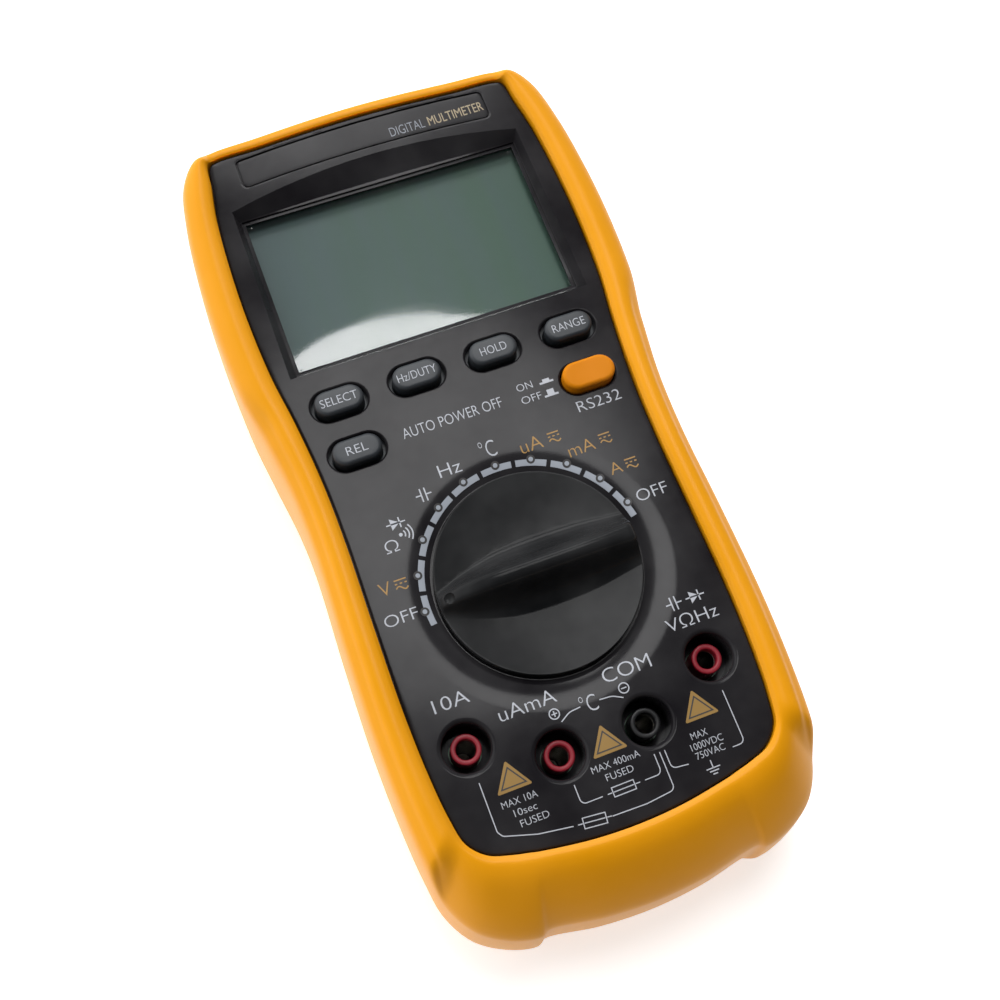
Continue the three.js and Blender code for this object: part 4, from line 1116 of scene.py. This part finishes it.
def button_mark(x, y, rise):
    """A button from the side, standing out by rise."""
    step = y + 0.45
    half = [(1.6, y), (1.6, step), (0.8, step), (0.8, step + rise)]
    left = [(x - across, height) for across, height in half]
    right = [(x + across, height) for across, height in half]
    return spot([left[0]] + right + left[:0:-1])


def pale_prints():
    pale = [lettering(*word, THIN) for word in PALE_WORDS]
    pale += capacitor(-16.7, 24.1) + capacitor(24.2, -16.1)
    pale += diode(-24.4, 20.1) + diode(29.0, -16.1) + buzzer_mark(-24.2, 17.4)
    pale += [button_mark(17.5, 39.3, 0.6), button_mark(17.5, 36.1, 1.2)]
    pale += signed_ring(-7.8, -28.8, True) + signed_ring(7.5, -28.8, False)
    pale += [ribbon(rounded(points, [0, 3, 0], 6), FINE_LINE) for points in TEMPERATURE_LEADS]
    pale += [ribbon(rounded(points, 1.1, 5), FINEST_LINE) for points in BRACKETS]
    pale += fuse_mark(-8.0, -51.15, -6, 2.1) + fuse_mark(-0.2, -47.4, 0, 1.9)
    return pale + [ribbon(points, FINE_LINE) for points in EARTH_MARK]


def make_prints():
    gold = [lettering(*word, THIN) for word in GOLD_WORDS]
    for x, y in ((-27.7, 7.4), (14.3, 27.1), (24.7, 23.1), (27.9, 15.9)):
        gold += wave(x, y, 2.6)
    warnings = [(x, -40.0, -34.0) for x in (-20.6, 0.0, 20.3)]
    ring, ring_dark = dial_ring()
    finish_print("print_pale", "pale", pale_prints())
    finish_print("print_ring", "ring", ring)
    finish_print("print_gold", "gold", gold)
    finish_print("print_amber", "amber", [triangle_mark(*place) for place in warnings])
    dark = [triangle_line(*place) for place in warnings] + ring_dark
    finish_print("print_dark", "dark", dark)
    first_word = lettering("DIGITAL", 6.2, 14.6, 109.2, 111.6, THIN)
    finish_print("print_digital", "silver", [first_word], base_z=STRIP_INK_Z)
    second_word = lettering("MULTIMETER", 15.6, 29.2, 109.2, 111.6)
    finish_print("print_multimeter", "champagne", [second_word], base_z=STRIP_INK_Z)
    for key, (text, width) in KEY_WORDS.items():
        x, y = KEYS[key]
        letters = lettering(text, x - width / 2, x + width / 2, y - 0.95, y + 0.95, THIN)
        finish_print(f"print_{key}", "pale", [letters], key_body(key), node_box(key)[1].z)


def finish_print(name, colour, pieces, body="meter", base_z=None):
    whole = drape(gather(name, pieces), base_z)
    whole.data.materials.clear()
    whole.data.materials.append(INKS[colour])
    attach(whole, body)


# ---------------- the kept CAD nodes


def finish_nodes():
    for name, node in frame["nodes"].items():
        if node.hide_render:
            continue
        node.data.materials.clear()
        node.data.materials.append(MATERIALS[SLOT_OF[name]])


# ---------------- floor, light and camera


# In metres: half the floor's side, and how far it lies below the object.
FLOOR_HALF, FLOOR_DROP = 1.5, 0.0002
# Brightness of the surround low down and overhead, and its factors on four sides.
HORIZON, ZENITH = 1.05, 0.04
FRONT, BACK = 0.15, 1.5
LEFT, RIGHT = 1.5, 0.5
CAMERA_PLACE = (-48.1, -59.5, 266.3)
CAMERA_TURN = (18.342, -3.368, -20.937)
CAMERA_LENS = 47.62


def make_floor():
    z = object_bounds()[0][2] - FLOOR_DROP
    mesh = bpy.data.meshes.new("floor")
    mesh.from_pydata([(i * FLOOR_HALF, j * FLOOR_HALF, z) for i, j in CORNERS], [], [(0, 1, 2, 3)])
    floor = new_object("floor", mesh)
    nodes = Nodes("floor_paper")
    nodes.link(nodes.ramp(nodes.noise(8, 2), [(0.3, (0.84, 0.84, 0.85)), (0.7, (0.88, 0.88, 0.88))]),
               nodes.shader.inputs["Base Color"])
    nodes.set({"Roughness": 0.7, "Emission Color": (1, 1, 1, 1), "Emission Strength": 0.6})
    mesh.materials.append(nodes.material)


def round_light(name, place, aim, diameter, radiance):
    """A round soft light of that radiance, at a place in the face frame."""
    data = bpy.data.lights.new(name, "AREA")
    data.shape = "DISK"
    data.size = diameter * MM
    data.energy = radiance * math.pi ** 2 * (diameter * MM / 2) ** 2
    light = new_object(name, data)
    light.location = ORIGIN + Vector(place) * MM
    light.rotation_euler = ((Vector(aim) - Vector(place)) * MM).to_track_quat("-Z", "Y").to_euler()


def make_world():
    """A pale studio: bright low down, most of all behind the object, and dim overhead."""
    world = bpy.data.worlds.new("studio")
    bpy.context.scene.world = world
    world.use_nodes = True
    tree = world.node_tree
    background = tree.nodes["Background"]
    coords = tree.nodes.new("ShaderNodeTexCoord")
    split = tree.nodes.new("ShaderNodeSeparateXYZ")
    tree.links.new(coords.outputs["Generated"], split.inputs["Vector"])
    strength = None
    for axis, *values in (("Z", 0.74, 0.86, HORIZON, ZENITH), ("Y", -0.7, 0.7, FRONT, BACK),
                          ("X", -0.8, 0.8, LEFT, RIGHT)):
        step = tree.nodes.new("ShaderNodeMapRange")
        step.interpolation_type = "SMOOTHSTEP"
        for socket, value in zip(RANGE_SOCKETS, values):
            step.inputs[socket].default_value = value
        tree.links.new(split.outputs[axis], step.inputs["Value"])
        if strength is None:
            strength = step.outputs["Result"]
            continue
        product = tree.nodes.new("ShaderNodeMath")
        product.operation = "MULTIPLY"
        tree.links.new(strength, product.inputs[0])
        tree.links.new(step.outputs["Result"], product.inputs[1])
        strength = product.outputs["Value"]
    tree.links.new(strength, background.inputs["Strength"])
    background.inputs["Color"].default_value = (1.0, 1.0, 1.0, 1)


def make_lights():
    make_world()
    round_light("softbox", place=(104, 327, 1000), aim=(104, 327, 0), diameter=431, radiance=9.8)
    round_light("back_softbox", place=(180, 1005, 1000), aim=(0, 0, 0), diameter=520, radiance=8.5)


def make_camera():
    data = bpy.data.cameras.new("camera")
    data.sensor_width = 36
    data.lens = CAMERA_LENS
    data.clip_start = 0.01
    camera = new_object("camera", data)
    camera.location = ORIGIN + Vector(CAMERA_PLACE) * MM
    camera.rotation_euler = Euler([math.radians(a) for a in CAMERA_TURN], "XYZ")
    bpy.context.scene.camera = camera
    bpy.context.scene.view_settings.view_transform = "Standard"


make_holster()
make_stand()
make_front_case()
make_name_strip()
make_lens()
make_knob()
for key_name, key_centre in KEYS.items():
    make_key(key_name, key_centre)
make_button()
for jack_name, jack_centre in JACKS.items():
    make_jack(jack_name, jack_centre)
make_prints()
finish_nodes()
make_floor()
make_lights()
make_camera()
